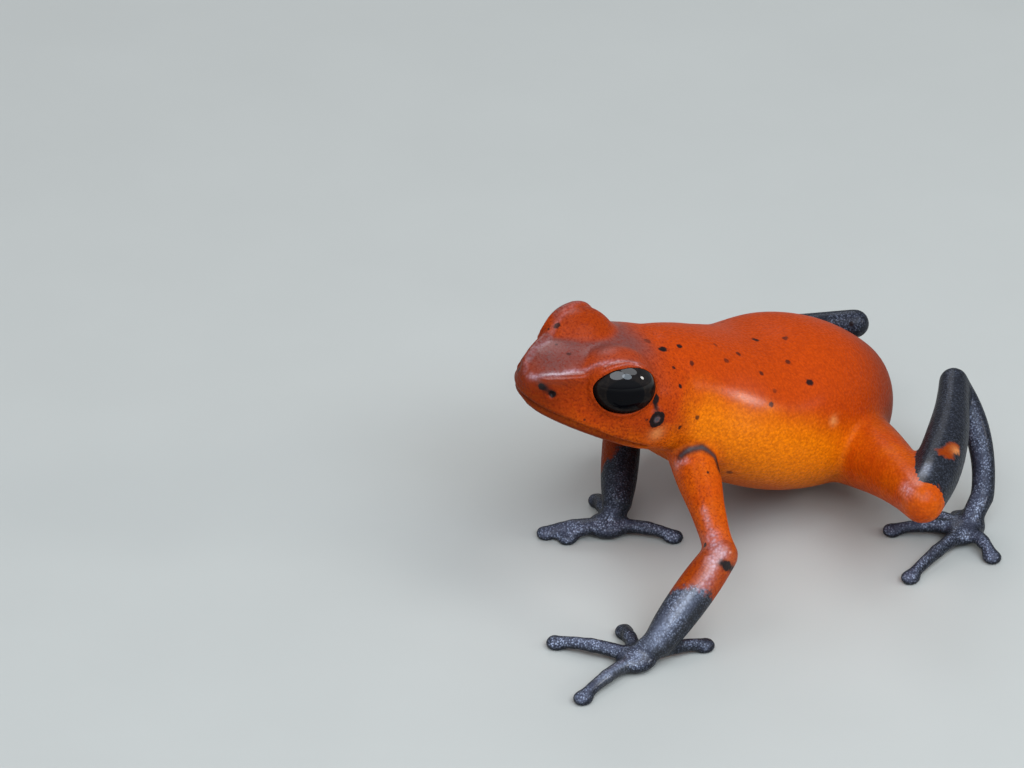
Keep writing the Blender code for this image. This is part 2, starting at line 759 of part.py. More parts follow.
def flesh():
    pieces = [loft("trunk_form", TRUNK_SECTIONS, TRUNK_ROUND, TRUNK_BOXINESS, TRUNK_FRAME)]
    pieces += head_pieces()
    pieces += arm_pieces(1, LEFT_ARM)
    pieces += arm_pieces(-1, RIGHT_ARM)
    pieces += leg_pieces(1, LEFT_LEG)
    pieces += leg_pieces(-1, RIGHT_LEG)
    return fuse(joined(pieces, "flesh"), VOXEL)


def parted(whole):
    """The flesh cut into named nodes."""
    for cutter in joint_cutters():
        whole = cut(whole, cutter)
    places = node_places()
    pieces = surfaces(whole)
    nodes = {}
    for piece in pieces[: len(places)]:
        middle = sum((v.co for v in piece.verts), Vector()) / len(piece.verts)
        name = min(places, key=lambda key: (places[key] - middle).length)
        if name in nodes:
            raise RuntimeError(f"two parted pieces are nearest to {name}")
        nodes[name] = object_from(piece, name)
    for scrap in pieces[len(places) :]:
        scrap.free()
    return nodes


def material(kind):
    made = bpy.data.materials.get(kind)
    if made:
        return made
    made = bpy.data.materials.new(kind)
    made.use_nodes = True
    shader = made.node_tree.nodes["Principled BSDF"]
    shader.inputs["Base Color"].default_value = (*COLOURS[kind], 1.0)
    shader.inputs["Roughness"].default_value = 0.12 if kind == "eye" else 0.42
    shader.inputs["Metallic"].default_value = 0.0
    return made


def settle(nodes):
    """Each node in metres, over the origin, with its own origin at its joint under an empty."""
    parts = bpy.data.collections.new("poison_dart_frog")
    bpy.context.scene.collection.children.link(parts)
    corners = [v.co for node in nodes.values() for v in node.data.vertices]
    middle_x = (min(c.x for c in corners) + max(c.x for c in corners)) / 2
    middle_y = (min(c.y for c in corners) + max(c.y for c in corners)) / 2
    low = min(c.z for c in corners)
    shift = Vector((-middle_x, -middle_y, -low))
    root = bpy.data.objects.new("frog", None)
    parts.objects.link(root)
    for name, node in nodes.items():
        origin = joint_of(name)
        node.data.transform(Matrix.Diagonal((MM, MM, MM, 1.0)) @ Matrix.Translation(-origin))
        node.location = (origin + shift) * MM
        node.parent = root
        node.data.materials.clear()
        node.data.materials.append(material(kind_of(name)))
        node.data.shade_smooth()
        for collection in list(node.users_collection):
            collection.objects.unlink(node)
        parts.objects.link(node)


def main():
    for obj in list(bpy.data.objects):
        bpy.data.objects.remove(obj)
    nodes = parted(flesh())
    for name in list(nodes):
        nodes[name] = decimated(nodes[name], TRIANGLES[kind_of(name)])
    nodes["head"] = carve_head(nodes["head"])
    for name in ("hand_left", "hand_right", "foot_left", "foot_right"):
        nodes[name] = cut(nodes[name], floor_cutter())
    for name in list(nodes):
        nodes[name] = largest(nodes[name])
    nodes["eye_left"] = eye(1, "left")
    nodes["eye_right"] = eye(-1, "right")
    settle(nodes)


main()
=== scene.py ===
"""A life-size strawberry poison dart frog as a museum-type model, on a plain pale floor.

The skin is modelled in millimetres in the frog's own frame: it faces -Y, its left side is at +X and
it stands on z = 0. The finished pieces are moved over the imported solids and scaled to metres.
"""
import math
import random

import bpy
import numpy as np
from bpy.props import FloatProperty, FloatVectorProperty, IntProperty, PointerProperty
from mathutils import Matrix, Vector
from mathutils.bvhtree import BVHTree


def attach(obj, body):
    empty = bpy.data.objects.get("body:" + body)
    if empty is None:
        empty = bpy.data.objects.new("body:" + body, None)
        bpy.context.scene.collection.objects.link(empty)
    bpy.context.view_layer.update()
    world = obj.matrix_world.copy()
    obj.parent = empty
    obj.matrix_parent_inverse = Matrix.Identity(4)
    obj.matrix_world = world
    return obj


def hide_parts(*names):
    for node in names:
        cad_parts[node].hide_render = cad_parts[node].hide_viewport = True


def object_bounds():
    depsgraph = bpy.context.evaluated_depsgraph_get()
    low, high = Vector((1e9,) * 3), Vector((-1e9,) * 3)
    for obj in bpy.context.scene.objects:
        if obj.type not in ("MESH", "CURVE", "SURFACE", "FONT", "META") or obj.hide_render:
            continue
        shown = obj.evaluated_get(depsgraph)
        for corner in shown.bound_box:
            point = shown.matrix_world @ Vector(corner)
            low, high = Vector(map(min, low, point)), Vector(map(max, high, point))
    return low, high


bl_info = {
    "name": "Poison dart frog",
    "version": (1, 0, 0),
    "blender": (4, 5, 0),
    "location": "View3D > Sidebar > Frog",
    "description": "Builds a life-size poison dart frog with granular skin and wet eyes",
    "category": "Add Mesh",
}

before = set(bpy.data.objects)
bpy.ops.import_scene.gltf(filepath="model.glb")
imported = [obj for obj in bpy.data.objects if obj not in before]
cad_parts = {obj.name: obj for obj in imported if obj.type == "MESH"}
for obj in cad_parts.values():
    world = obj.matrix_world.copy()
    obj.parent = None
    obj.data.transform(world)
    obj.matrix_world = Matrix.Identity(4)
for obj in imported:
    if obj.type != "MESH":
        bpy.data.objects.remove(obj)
CAD_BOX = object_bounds()

MM = 0.001
NECK = Vector((0.0, 0.0, 8.2))
NECK_STATION = 7.0
HEAD_PITCH = 22.5
HEAD_TURN = -3.0
HEAD_ROLL = 9.0
TRUNK_PITCH = 27.0

# Head sections: distance behind the snout tip, half width, top, widest line and underside.
HEAD_SECTIONS = (
    (0.50, 0.86, 0.40, -0.30, -0.96),
    (0.95, 1.14, 0.62, -0.38, -1.20),
    (1.5, 1.54, 0.96, -0.48, -1.40),
    (2.4, 2.16, 1.42, -0.56, -1.56),
    (3.6, 2.72, 1.88, -0.60, -1.66),
    (4.8, 3.05, 2.12, -0.62, -1.78),
    (6.0, 3.18, 2.22, -0.62, -1.90),
    (7.4, 3.10, 2.24, -0.50, -2.05),
    (9.4, 2.70, 2.10, -0.40, -2.00),
)
HEAD_ROUND = (0.9, 2.6)
HEAD_BOXINESS = 2.5

# Trunk sections, measured along the trunk's own axis from the same zero.
TRUNK_SECTIONS = (
    (4.8, 2.30, 1.75, -0.40, -1.60),
    (7.0, 2.95, 2.55, -0.50, -2.20),
    (8.6, 3.35, 2.80, -0.45, -2.65),
    (10.4, 3.82, 2.90, -0.40, -3.05),
    (12.4, 4.22, 3.15, -0.35, -3.28),
    (14.2, 4.35, 3.98, -0.25, -3.28),
    (16.0, 4.15, 4.25, -0.05, -3.05),
    (17.8, 3.65, 4.12, 0.25, -2.70),
    (19.6, 2.90, 3.62, 0.40, -2.25),
    (21.5, 2.10, 2.80, 0.35, -1.70),
)
TRUNK_ROUND = (2.2, 2.6)
TRUNK_BOXINESS = 2.15

EYE_CENTRE = Vector((1.50, 4.00, 1.12))
EYE_AXIS = Vector((0.90, -0.40, 0.03))
EYE_TILT = 8.0
EYE_OUT = 0.73
EYE_SIZE = (1.41, 1.17, 0.88)
EYE_OPENING = (1.34, 1.00)
LID_CORNERS = 0.20
LID_CENTRE = Vector((1.46, 3.90, 0.96))
LID_SIZE = (1.56, 1.72, 1.52)
NOSTRIL = Vector((1.04, 1.24, -0.12))
CANTHUS = (
    (Vector((0.64, 0.88, 0.10)), 0.22),
    (Vector((1.06, 1.5, 0.48)), 0.27),
    (Vector((1.60, 2.5, 0.98)), 0.34),
)
MOUTH_LINE = ((0.0, -0.94), (1.2, -0.95), (2.6, -0.95), (4.2, -1.05), (5.7, -1.13))
MOUTH_SPREAD = 1.8
LIPS = ((0.20, 0.10, 0.13), (-0.22, 0.10, 0.13))
TYMPANUM = Vector((3.00, 5.45, 0.30))

# Joints of the limbs and tips of the digits, first digit first.
SHOULDER = Vector((2.50, 0.75, 5.85))
HIP = Vector((1.70, 9.84, 2.95))
LEFT_ARM = {
    "elbow": Vector((7.00, -1.30, 3.85)),
    "wrist": Vector((7.25, -4.70, 1.00)),
    "palm": Vector((6.95, -5.50, 0.42)),
    "tips": ((4.82, -4.55), (3.80, -7.42), (7.72, -9.05), (7.68, -2.45)),
}
RIGHT_ARM = {
    "elbow": Vector((-5.75, 3.80, 2.75)),
    "wrist": Vector((-1.95, 0.45, 1.30)),
    "palm": Vector((-1.75, -0.05, 0.42)),
    "tips": ((0.40, 1.80), (-2.30, -2.05), (-3.15, -2.55), (-3.95, 0.95)),
}
LEFT_LEG = {
    "knee": Vector((9.75, 7.35, 4.65)),
    "heel": Vector((4.05, 14.15, 5.40)),
    "ankle": Vector((7.05, 13.45, 1.35)),
    "sole": Vector((7.60, 12.20, 0.45)),
    "tips": ((6.35, 12.75), (5.55, 11.55), (5.45, 9.65), (8.80, 7.80), (9.70, 11.75)),
}
RIGHT_LEG = {
    "knee": Vector((-9.60, 8.30, 1.90)),
    "heel": Vector((-3.10, 14.75, 4.80)),
    "ankle": Vector((-6.10, 14.20, 1.35)),
    "sole": Vector((-6.80, 13.05, 0.45)),
    "tips": ((-5.55, 13.55), (-4.85, 12.40), (-4.95, 10.60), (-8.20, 8.80), (-9.00, 12.65)),
}
TIP_HEIGHT = 0.20

# Limb thickness: distance along the bone as a share of its length, and the radius there.
UPPER_ARM_RADII = ((0.0, 1.05), (0.25, 0.98), (0.6, 0.74), (0.85, 0.66), (1.0, 0.74))
FOREARM_RADII = ((0.0, 0.76), (0.25, 0.84), (0.6, 0.84), (0.85, 0.76), (1.0, 0.66))
THIGH_RADII = ((0.0, 1.90), (0.3, 1.62), (0.6, 1.28), (0.85, 1.02), (1.0, 0.92))
SHANK_RADII = ((0.0, 0.90), (0.25, 1.04), (0.55, 0.94), (0.85, 0.72), (1.0, 0.66))
TARSUS_RADII = ((0.0, 0.62), (0.3, 0.60), (0.8, 0.52), (1.0, 0.52))
THIGH_BOW = Vector((0.0, 0.25, 0.1))
SHANK_BOW = Vector((0.25, 0.2, 0.0))
TARSUS_BOW = Vector((0.3, 0.35, 0.1))
NO_BOW = Vector((0.0, 0.0, 0.0))
DIGIT_RADIUS = 0.29
DIGIT_ARCH = 0.16
DISC_SIZE = (0.44, 0.48, 0.28)
HAND = {
    "radii": (0.58, 0.55, 0.5),
    "rise": 0.08,
    "pad": (0.86, 0.95, 0.46),
    "ahead": 0.1,
    "start": 0.45,
    "longest": 2,
}
FOOT = {
    "radii": (0.52, 0.5, 0.46),
    "rise": 0.1,
    "pad": (0.74, 1.15, 0.44),
    "ahead": 0.2,
    "start": 0.4,
    "longest": 3,
}

# Where the orange gives way to blue-black, in millimetres beyond the elbow and beyond the knee.
FOREARM_BORDER = 1.95
FOREARM_SLANT = 0.75
THIGH_BORDER = 1.6
SHANK_BORDER = 0.15
TARSUS_BORDER = -4.0

# The far forearm: how its border slants, the side it slants to and the side on which shade is painted.
FAR_SLANT = 1.3
FAR_EDGE = (-0.62, -0.79, 0.0)
FAR_SHADE = (0.79, -0.62, 0.0)
FAR_SILVER = (0.0, 0.4)

# How strongly a limb segment's dark skin is flecked at its start and at its end, and how strongly a paw is.
SILVER = {
    "upper_arm": (0.6, 0.8),
    "forearm": (0.35, 1.0),
    "thigh": (0.2, 0.3),
    "shank": (0.0, 0.28),
    "tarsus": (0.7, 1.0),
}
PAW_SILVER = 1.25
# The side towards which the flecks are drawn brightest, as a painted sheen of the light.
SHEEN_SIDE = (0.37, -0.60, 0.71)

# How amber the limbs are, and a distance beyond every gap between the forms.
LIMB_WARM = 0.30
FAR = 9.0

# The middle line of an orange patch on the folded shank, and the patch's half width.
SHANK_PATCH = ((8.72, 9.50, 5.80), (8.60, 10.15, 5.75))
SHANK_PATCH_HALF = 0.34

# Cubes that the forms are first fused with, in millimetres, and the most triangles of the skin.
ROUGH_VOXEL = 0.11
SKIN_TRIANGLES = 180000

# In the head's frame: the sharp edge from the snout to the upper lid, and the hollow below it.
CANTHUS_EDGE = ((0.62, 0.75, 0.20), (1.15, 1.45, 0.62), (1.62, 2.10, 1.15), (1.78, 2.55, 1.62))
LORE = ((1.55, 1.75, -0.05), (2.05, 2.45, -0.10), (2.45, 3.2, -0.35))

# In the head's frame: where that edge catches the light, where a highlight is painted and the skin made
# wetter. The first points lie on the snout.
SHINE = (
    (0.18, 0.62, 0.03),
    (0.51, 0.73, 0.22),
    (0.97, 1.34, 0.73),
    (1.10, 1.91, 1.02),
    (1.39, 2.23, 1.35),
    (1.64, 2.47, 1.79),
    (1.99, 3.08, 2.23),
    (2.29, 3.67, 2.39),
)
SHINE_ON_SNOUT = 4

# Folds of both sides: the line each follows, its depth and its half width.
FOLDS = (
    (((3.6, 1.2, 7.2), (4.35, 1.9, 6.2), (4.3, 1.9, 5.0)), 0.10, 0.28),
    (((3.6, 7.6, 2.4), (4.2, 8.1, 3.6), (4.1, 9.3, 4.8)), 0.03, 0.35),
)

# Dark lines of both sides: painted shade along the arm's root, and dark marks behind the eye, at the
# nostril and at the elbow; each with the points it follows, its strength and its half width.
ARM_ARC = (
    (2.95, -0.26, 6.26),
    (3.06, -0.07, 6.49),
    (3.33, 0.61, 6.58),
    (3.72, 1.03, 6.12),
    (4.18, 0.90, 5.79),
)
CREASES = (
    (ARM_ARC, 0.9, 0.22),
    (((2.72, -1.55, 9.55), (2.80, -1.59, 9.40), (2.90, -1.64, 9.13), (3.00, -1.66, 8.95)), 1.0, 0.12),
    (((0.53, -5.78, 10.44), (0.72, -5.62, 10.30), (0.85, -5.45, 10.14)), 1.0, 0.17),
    (((7.67, -1.78, 3.99), (7.76, -1.58, 3.81), (7.70, -1.25, 3.52), (7.50, -0.95, 3.30)), 1.0, 0.18),
)
# Painted shade along the mouth's groove and along the lids' edges: strength and half width.
MOUTH_CREASE = (0.95, 0.10)
LID_CREASE = (0.55, 0.06)

# Spots seen in the photograph: place in the frog's frame, radius, and strength of the dark colour.
SPOTS = (
    ((0.98, 0.21, 10.37), 0.20, 1.0),
    ((1.11, 1.01, 10.30), 0.14, 0.9),
    ((0.41, -0.15, 10.61), 0.20, 0.5),
    ((1.97, 0.06, 9.97), 0.09, 0.8),
    ((1.77, 1.04, 9.63), 0.13, 0.7),
    ((2.59, -0.10, 9.46), 0.11, 0.9),
    ((3.07, 0.54, 7.91), 0.11, 0.7),
    ((3.05, -0.40, 7.80), 0.12, 0.8),
    ((0.15, -4.10, 11.21), 0.12, 0.6),
    ((-1.39, -3.53, 11.63), 0.17, 0.8),
    ((1.13, 2.98, 9.69), 0.12, 0.5),
    ((1.97, 2.90, 9.33), 0.14, 0.6),
    ((1.59, 3.93, 9.13), 0.14, 0.7),
    ((0.45, 5.85, 8.63), 0.17, 0.85),
    ((0.82, 7.16, 8.46), 0.16, 0.65),
    ((2.08, 6.22, 8.20), 0.15, 0.7),
    ((2.55, 4.43, 8.45), 0.14, 0.7),
    ((3.17, 6.61, 7.54), 0.19, 0.9),
    ((3.15, 4.67, 7.87), 0.13, 0.5),
    ((3.52, 4.16, 7.49), 0.14, 0.75),
    ((6.54, -1.77, 4.24), 0.12, 0.9),
    ((7.76, -1.58, 3.81), 0.22, 1.0),
    ((0.52, -5.77, 10.39), 0.14, 0.9),
    ((2.78, -1.59, 9.44), 0.20, 1.0),
    ((4.31, 0.09, 6.05), 0.09, 0.8),
    ((3.14, 2.37, 4.64), 0.16, 0.6),
    ((1.89, -4.56, 9.04), 0.07, 0.6),
    ((2.91, -2.14, 8.68), 0.07, 0.6),
)
# Ring round the eardrum: its radius and half width. Then the eardrum's radius and the nostril's.
EAR_RING = (0.26, 0.13)
EAR_DRUM = 0.17
NOSTRIL_MARK = 0.15

# Lines where a reflection of the sky is painted on the skin and its coat made wetter: the points, the
# strength and the half width.
GLEAMS = (
    (((3.00, -0.40, 5.98), (3.30, -0.26, 6.25)), 0.45, 0.14),
    (((5.44, -0.96, 5.14), (6.08, -1.21, 4.82), (6.56, -1.43, 4.61)), 0.35, 0.13),
    (((6.56, -1.43, 4.61), (6.99, -1.67, 4.48), (7.44, -1.61, 4.34), (7.37, -2.08, 4.10)), 0.55, 0.26),
    (((7.42, -2.00, 4.08), (7.65, -2.33, 3.72), (7.74, -2.65, 3.40), (7.76, -2.96, 3.14)), 0.45, 0.22),
    (((7.61, -3.49, 2.90), (7.63, -4.02, 2.43), (7.55, -4.68, 1.86), (7.46, -5.21, 1.32)), 0.45, 0.26),
    (((7.35, -5.74, 0.83), (7.36, -6.80, 0.76), (7.63, -8.06, 0.67)), 0.35, 0.14),
    (((9.10, 6.90, 5.23), (9.45, 6.80, 5.24)), 0.45, 0.28),
    (((9.25, 7.85, 5.63), (9.00, 8.18, 5.70)), 0.40, 0.20),
)
# Wet places: at the elbow, the flank, the shoulder and the knee, with their strength and half width.
WET_PLACES = (
    (((3.30, 3.10, 7.95),), 1.0, 0.95),
    (((3.22, -0.10, 6.10),), 1.0, 0.5),
    (((7.20, -1.50, 4.40),), 1.0, 0.9),
    (((9.28, 6.96, 5.34),), 1.0, 0.8),
)
# Pale places: a small pale spot on the flank, a painted highlight at the corner of the jaw, and the shank's
# patch.
PALE_SPOTS_AND_JAW_HIGHLIGHT = (
    (((4.13, 7.22, 5.92),), 0.75, 0.20),
    (((2.99, -1.60, 7.88),), 0.55, 0.34),
    (((8.78, 10.15, 5.62),), 0.70, 0.30),
)

# Skin patterns: how many to a metre, and how detailed they are.
BLOTCHES = (900.0, 3.0)
PATCHES = (1300.0, 2.0)
FINE = (5200.0, 2.0)
SPECKS = (11000.0, 1.0)
GLINTS_PER_GRANULE = 1.7

# Soft round lamps: place and size in millimetres, power in watts, and colour. All look at one point.
LAMPS = {
    "sky": ((105.0, 60.0, 215.0), 170.0, 0.19, (0.92, 0.96, 1.0)),
    "window": ((178.0, -15.0, 161.0), 95.0, 0.11, (0.72, 0.86, 1.0)),
    "pane": ((122.0, -95.0, 189.0), 165.0, 0.27, (0.86, 0.92, 1.0)),
    "glint": ((165.0, 138.0, 100.0), 42.0, 0.07, (1.0, 0.98, 0.95)),
    "front": ((-13.0, -128.0, 214.0), 130.0, 0.09, (0.97, 0.96, 1.0)),
    "rear": ((-177.0, 102.0, 160.0), 120.0, 0.09, (0.90, 0.93, 1.0)),
}
LAMP_AIM = Vector((0.0, 0.0, 5.0))
STUDIO_COLOUR = (0.80, 0.85, 0.90, 1.0)
STUDIO_STRENGTH = 0.30

# The photograph's view, in the frog's frame: degrees round, above and rolled, and the frame's shift.
VIEW = {"round": 52.0, "above": 30.5, "roll": 1.0, "focal": 4900.0, "distance": 210.0}
VIEW_SHIFT = (636.5 - 512.0, 384.0 - 550.4)
PHOTO_WIDTH = 1024.0


def turn(axis, degrees):
    return Matrix.Rotation(math.radians(degrees), 4, axis)


HEAD_FRAME = (
    Matrix.Translation(NECK)
    @ turn("Z", HEAD_TURN)
    @ turn("X", -HEAD_PITCH)
    @ turn("Y", HEAD_ROLL)
    @ Matrix.Translation((0.0, -NECK_STATION, 0.0))
)
TRUNK_FRAME = (
    Matrix.Translation(NECK)
    @ turn("X", -TRUNK_PITCH)
    @ Matrix.Translation((0.0, -NECK_STATION, 0.0))
)
WORLD_FRAME = Matrix.Identity(4)


class FrogSizes(bpy.types.PropertyGroup):
    """Sizes of the skin's fine forms."""

    voxel: FloatProperty(
        name="Skin fineness",
        description="Edge of the cubes that the skin is fused with, in millimetres",
        default=0.09,
        min=0.05,
    )
    granule: FloatProperty(
        name="Granule",
        description="Width of one skin granule",
        default=0.00013,
        unit="LENGTH",
        precision=5,
    )
    mouth_depth: FloatProperty(
        name="Mouth depth",
        description="Depth of the closed mouth's groove, in millimetres",
        default=0.13,
    )
    spots: IntProperty(
        name="Far spots",
        description="How many small spots are scattered where the photograph shows none",
        default=46,
    )


def tint(name, description, default):
    return FloatVectorProperty(name=name, description=description, subtype="COLOR", default=default)


class FrogColours(bpy.types.PropertyGroup):
    """Colours of the skin, of the eyes and of the floor."""

    red: tint("Back", "Orange-red of the back", (0.57, 0.062, 0.002))
    amber: tint("Flank", "Yellow-orange of the flanks", (0.95, 0.225, 0.002))
    # Painted shade: this dark red is laid where shade falls on the snout, lips, face, far lid, underside,
    # rump and far arm; on the forearm's orange and the shank's patch it is a darker tone of the skin.
    painted_shade_and_tone: tint("Dusk", "Dark red of the snout, the rump and the underside", (0.10, 0.014, 0.002))
    # Partly the crown's own lilac grey and partly a painted reflection of the sky on the crown's
    # upward-facing skin.
    crown: tint("Crown", "Lilac grey of the crown", (0.15, 0.070, 0.066))
    # The grooves between the granules are darkened with this as painted shade; the dark specks and the
    # mottling are the skin's own.
    speck: tint("Specks", "Dark red between the granules", (0.20, 0.014, 0.002))
    # Also used for a painted highlight at the corner of the jaw.
    pale: tint("Pale", "Pale places of the orange skin", (0.86, 0.34, 0.11))
    night: tint("Limbs", "Blue-black of the limbs", (0.009, 0.010, 0.014))
    # The blue-grey and the flecks show most on the side facing the light, as a painted sheen; the flecks
    # themselves are the limbs' own.
    steel: tint("Steel", "Blue-grey under the flecks", (0.085, 0.094, 0.145))
    silver_and_sheen: tint("Flecks", "Silver-blue flecks of the limbs", (0.40, 0.46, 0.62))
    lilac: tint("Lilac", "The sky's light on orange skin", (0.66, 0.46, 0.54))
    blue: tint("Blue", "The sky's light on dark skin", (0.38, 0.44, 0.60))
    # Also the painted shade along the mouth, the lids' edges and the arm's root.
    spot: tint("Spots", "Black of the spots", (0.014, 0.008, 0.008))
    # Also a painted highlight along the middle of the shoulder's dark line.
    drum_and_arc_highlight: tint("Eardrum", "Grey of the eardrum and of the shoulder's line", (0.085, 0.080, 0.090))
    iris: tint("Iris", "Dark brown of the iris", (0.007, 0.005, 0.005))
    rays: tint("Rays", "Lighter brown of the iris's rays", (0.022, 0.016, 0.012))
    pupil: tint("Pupil", "Black of the pupil", (0.002, 0.002, 0.003))
    floor: tint("Floor", "Pale colour of the floor", (0.55, 0.56, 0.53))


def mirrored(point, side):
    """The point on the given side: 1 is the frog's left and -1 its right."""
    return Vector((point.x * side, point.y, point.z))


def head_line(points, side):
    """Points given in the head's frame for the left side, on the given side in the frog's frame."""
    return [HEAD_FRAME @ mirrored(Vector(point), side) for point in points]


def outwards(place, side, amount):
    """A place on the head's side, moved out by the amount, in the frog's frame."""
    return head_line([place + Vector((amount, 0.0, 0.0))], side)[0]


def smooth_row(rows, at):
    """The row of a table at one place, on a smooth curve through its rows."""
    table = np.array(rows, float)
    place = table[:, 0]
    slope = np.gradient(table, place, axis=0)
    at = min(max(at, place[0]), place[-1])
    i = min(int(np.searchsorted(place, at, side="right")) - 1, len(place) - 2)
    span = place[i + 1] - place[i]
    t = (at - place[i]) / span
    start = (1 + 2 * t) * (1 - t) ** 2 * table[i] + t * (1 - t) ** 2 * span * slope[i]
    end = t * t * (3 - 2 * t) * table[i + 1] + t * t * (t - 1) * span * slope[i + 1]
    return start + end


def section(rows, rounding, at):
    """Half width, top, widest line and underside at a station, drawn in to round ends."""
    _, width, top, middle, bottom = smooth_row(rows, at)
    front, back = rounding
    nose = min(1.0, (at - rows[0][0]) / front)
    tail = min(1.0, (rows[-1][0] - at) / back)
    shrink = math.sqrt(max(0.0, 1 - (1 - nose) ** 2)) * math.sqrt(max(0.0, 1 - (1 - tail) ** 2))
    return width * shrink, middle + (top - middle) * shrink, middle, middle + (bottom - middle) * shrink


def alone(obj):
    """Makes the object the only selected one, and the active one."""
    bpy.ops.object.select_all(action="DESELECT")
    obj.select_set(True)
    bpy.context.view_layer.objects.active = obj


def settled(obj):
    """The object with its place, turn and size in its mesh."""
    alone(obj)
    bpy.ops.object.transform_apply(location=True, rotation=True, scale=True)
    return obj


def ball(centre, size, place=WORLD_FRAME, segments=24):
    """An ellipsoid with its half sizes along the frame's own axes."""
    bpy.ops.mesh.primitive_uv_sphere_add(segments=segments, ring_count=segments // 2, radius=1.0)
    form = bpy.context.active_object
    form.matrix_world = place @ Matrix.Translation(centre) @ Matrix.Diagonal((*size, 1.0))
    return settled(form)


def tube(points, radii, resolution=6):
    """A round tube through the points, each with its own radius."""
    bpy.ops.curve.primitive_nurbs_path_add()
    path = bpy.context.active_object
    curve = path.data
    curve.splines.clear()
    spline = curve.splines.new("POLY")
    spline.points.add(len(points) - 1)
    for target, point, radius in zip(spline.points, points, radii):
        target.co = (*point, 1.0)
        target.radius = radius
    curve.dimensions = "3D"
    curve.bevel_depth = 1.0
    curve.bevel_resolution = resolution
    curve.use_fill_caps = True
    alone(path)
    bpy.ops.object.convert(target="MESH")
    return bpy.context.active_object


def loft(rows, rounding, boxiness, place):
    """A sphere whose rings are moved onto the body's sections."""
    bpy.ops.mesh.primitive_uv_sphere_add(segments=72, ring_count=64, radius=1.0)
    form = bpy.context.active_object
    start = rows[0][0]
    length = rows[-1][0] - start
    for vert in form.data.vertices:
        at = start + length * (1 - vert.co.z) / 2
        width, top, middle, bottom = section(rows, rounding, at)
        ring = math.hypot(vert.co.x, vert.co.y)
        across = vert.co.x / ring if ring > 1e-6 else 0.0
        rise = vert.co.y / ring if ring > 1e-6 else 0.0
        reach = top - middle if rise > 0 else middle - bottom
        x = width * math.copysign(abs(across) ** (2 / boxiness), across)
        z = middle + reach * math.copysign(abs(rise) ** (2 / boxiness), rise)
        vert.co = place @ Vector((x, at, z))
    return form


def bend(start, middle, end, steps=10):
    """Points on the arc-like curve that starts and ends as given and passes through the middle."""
    handle = middle * 2 - (start + end) / 2
    points = []
    for i in range(steps + 1):
        t = i / steps
        points.append(start * (1 - t) ** 2 + handle * 2 * t * (1 - t) + end * t * t)
    return points


def bone(start, end, radii, bow=NO_BOW):
    """A limb segment: a tube with the muscles' thickness and a ball at each joint."""
    points = bend(start, (start + end) / 2 + bow, end, 16)
    thickness = [smooth_row(radii, i / 16)[1] for i in range(17)]
    pieces = [tube(points, thickness)]
    for place, radius in ((start, radii[0][1]), (end, radii[-1][1])):
        pieces.append(ball(place, (radius, radius, radius)))
    return pieces


def head_side(at, height):
    """How far the head's side stands from its middle plane at a station and a height."""
    width, top, middle, bottom = section(HEAD_SECTIONS, HEAD_ROUND, at)
    reach = top - middle if height > middle else middle - bottom
    rise = min(1.0, abs(height - middle) / max(reach, 1e-6))
    return width * (1 - rise**HEAD_BOXINESS) ** (1 / HEAD_BOXINESS)


def front_at(height):
    """The station at which the snout's front first reaches a height."""
    near, far = HEAD_SECTIONS[0][0], HEAD_SECTIONS[3][0]
    for _ in range(24):
        middle = (near + far) / 2
        _, top, _, bottom = section(HEAD_SECTIONS, HEAD_ROUND, middle)
        if bottom < height < top:
            far = middle
        else:
            near = middle
    return far


def mouth_points(raise_by, inset, steps=64):
    """Points along the mouth, from the left jaw corner round the snout to the right one."""
    tip = front_at(MOUTH_LINE[0][1] + raise_by)
    points = []
    for i in range(steps + 1):
        t = 2 * i / steps - 1
        at = tip + (MOUTH_LINE[-1][0] - tip) * abs(t) ** MOUTH_SPREAD
        height = smooth_row(MOUTH_LINE, at)[1] + raise_by
        reach = max(0.0, head_side(at, height) - inset)
        points.append(HEAD_FRAME @ Vector((math.copysign(reach, -t), at + inset * (1 - abs(t)), height)))
    return points


def eye_frame(side):
    """The eye's own frame: X runs back along the opening, Y up across it and Z out of the head."""
    out = mirrored(EYE_AXIS, side).normalized()
    back = Vector((0.0, math.cos(math.radians(EYE_TILT)), math.sin(math.radians(EYE_TILT))))
    back = (back - out * back.dot(out)).normalized()
    up = out.cross(back)
    rows = Matrix((back, up, out)).transposed().to_4x4()
    return HEAD_FRAME @ Matrix.Translation(mirrored(EYE_CENTRE, side)) @ rows


def digit_line(start, tip):
    """The middle line of a finger or toe, arched over its middle joint."""
    low = Vector((tip.x, tip.y, tip.z + 0.04))
    return bend(start, (start + low) / 2 + Vector((0.0, 0.0, DIGIT_ARCH)), low, 8)


def digit(start, tip):
    """A finger or toe: knuckle, disc and the paired scutes on top of the disc."""
    points = digit_line(start, tip)
    thickness = [DIGIT_RADIUS * (1.18 - 0.26 * i / 8) for i in range(9)]
    along = math.degrees(math.atan2(tip.y - start.y, tip.x - start.x)) - 90
    disc_frame = Matrix.Translation(tip) @ turn("Z", along)
    knuckle = points[4]
    pieces = [
        tube(points, thickness, 4),
        ball(Vector((0.0, -0.08, 0.0)), DISC_SIZE, disc_frame),
        ball(knuckle, (DIGIT_RADIUS * 1.22, DIGIT_RADIUS * 1.22, DIGIT_RADIUS * 1.12), segments=16),
    ]
    for side in (1, -1):
        pieces.append(ball(Vector((0.15 * side, 0.10, 0.17)), (0.15, 0.19, 0.11), disc_frame, 12))
    return pieces


def paw_lines(pad, tips, form):
    """The middle line of each digit of a hand or foot."""
    lines = []
    for x, y in tips:
        tip = Vector((x, y, TIP_HEIGHT))
        out = (tip - pad).normalized()
        lines.append((pad + Vector((out.x, out.y, 0.0)) * form["start"], tip))
    return lines


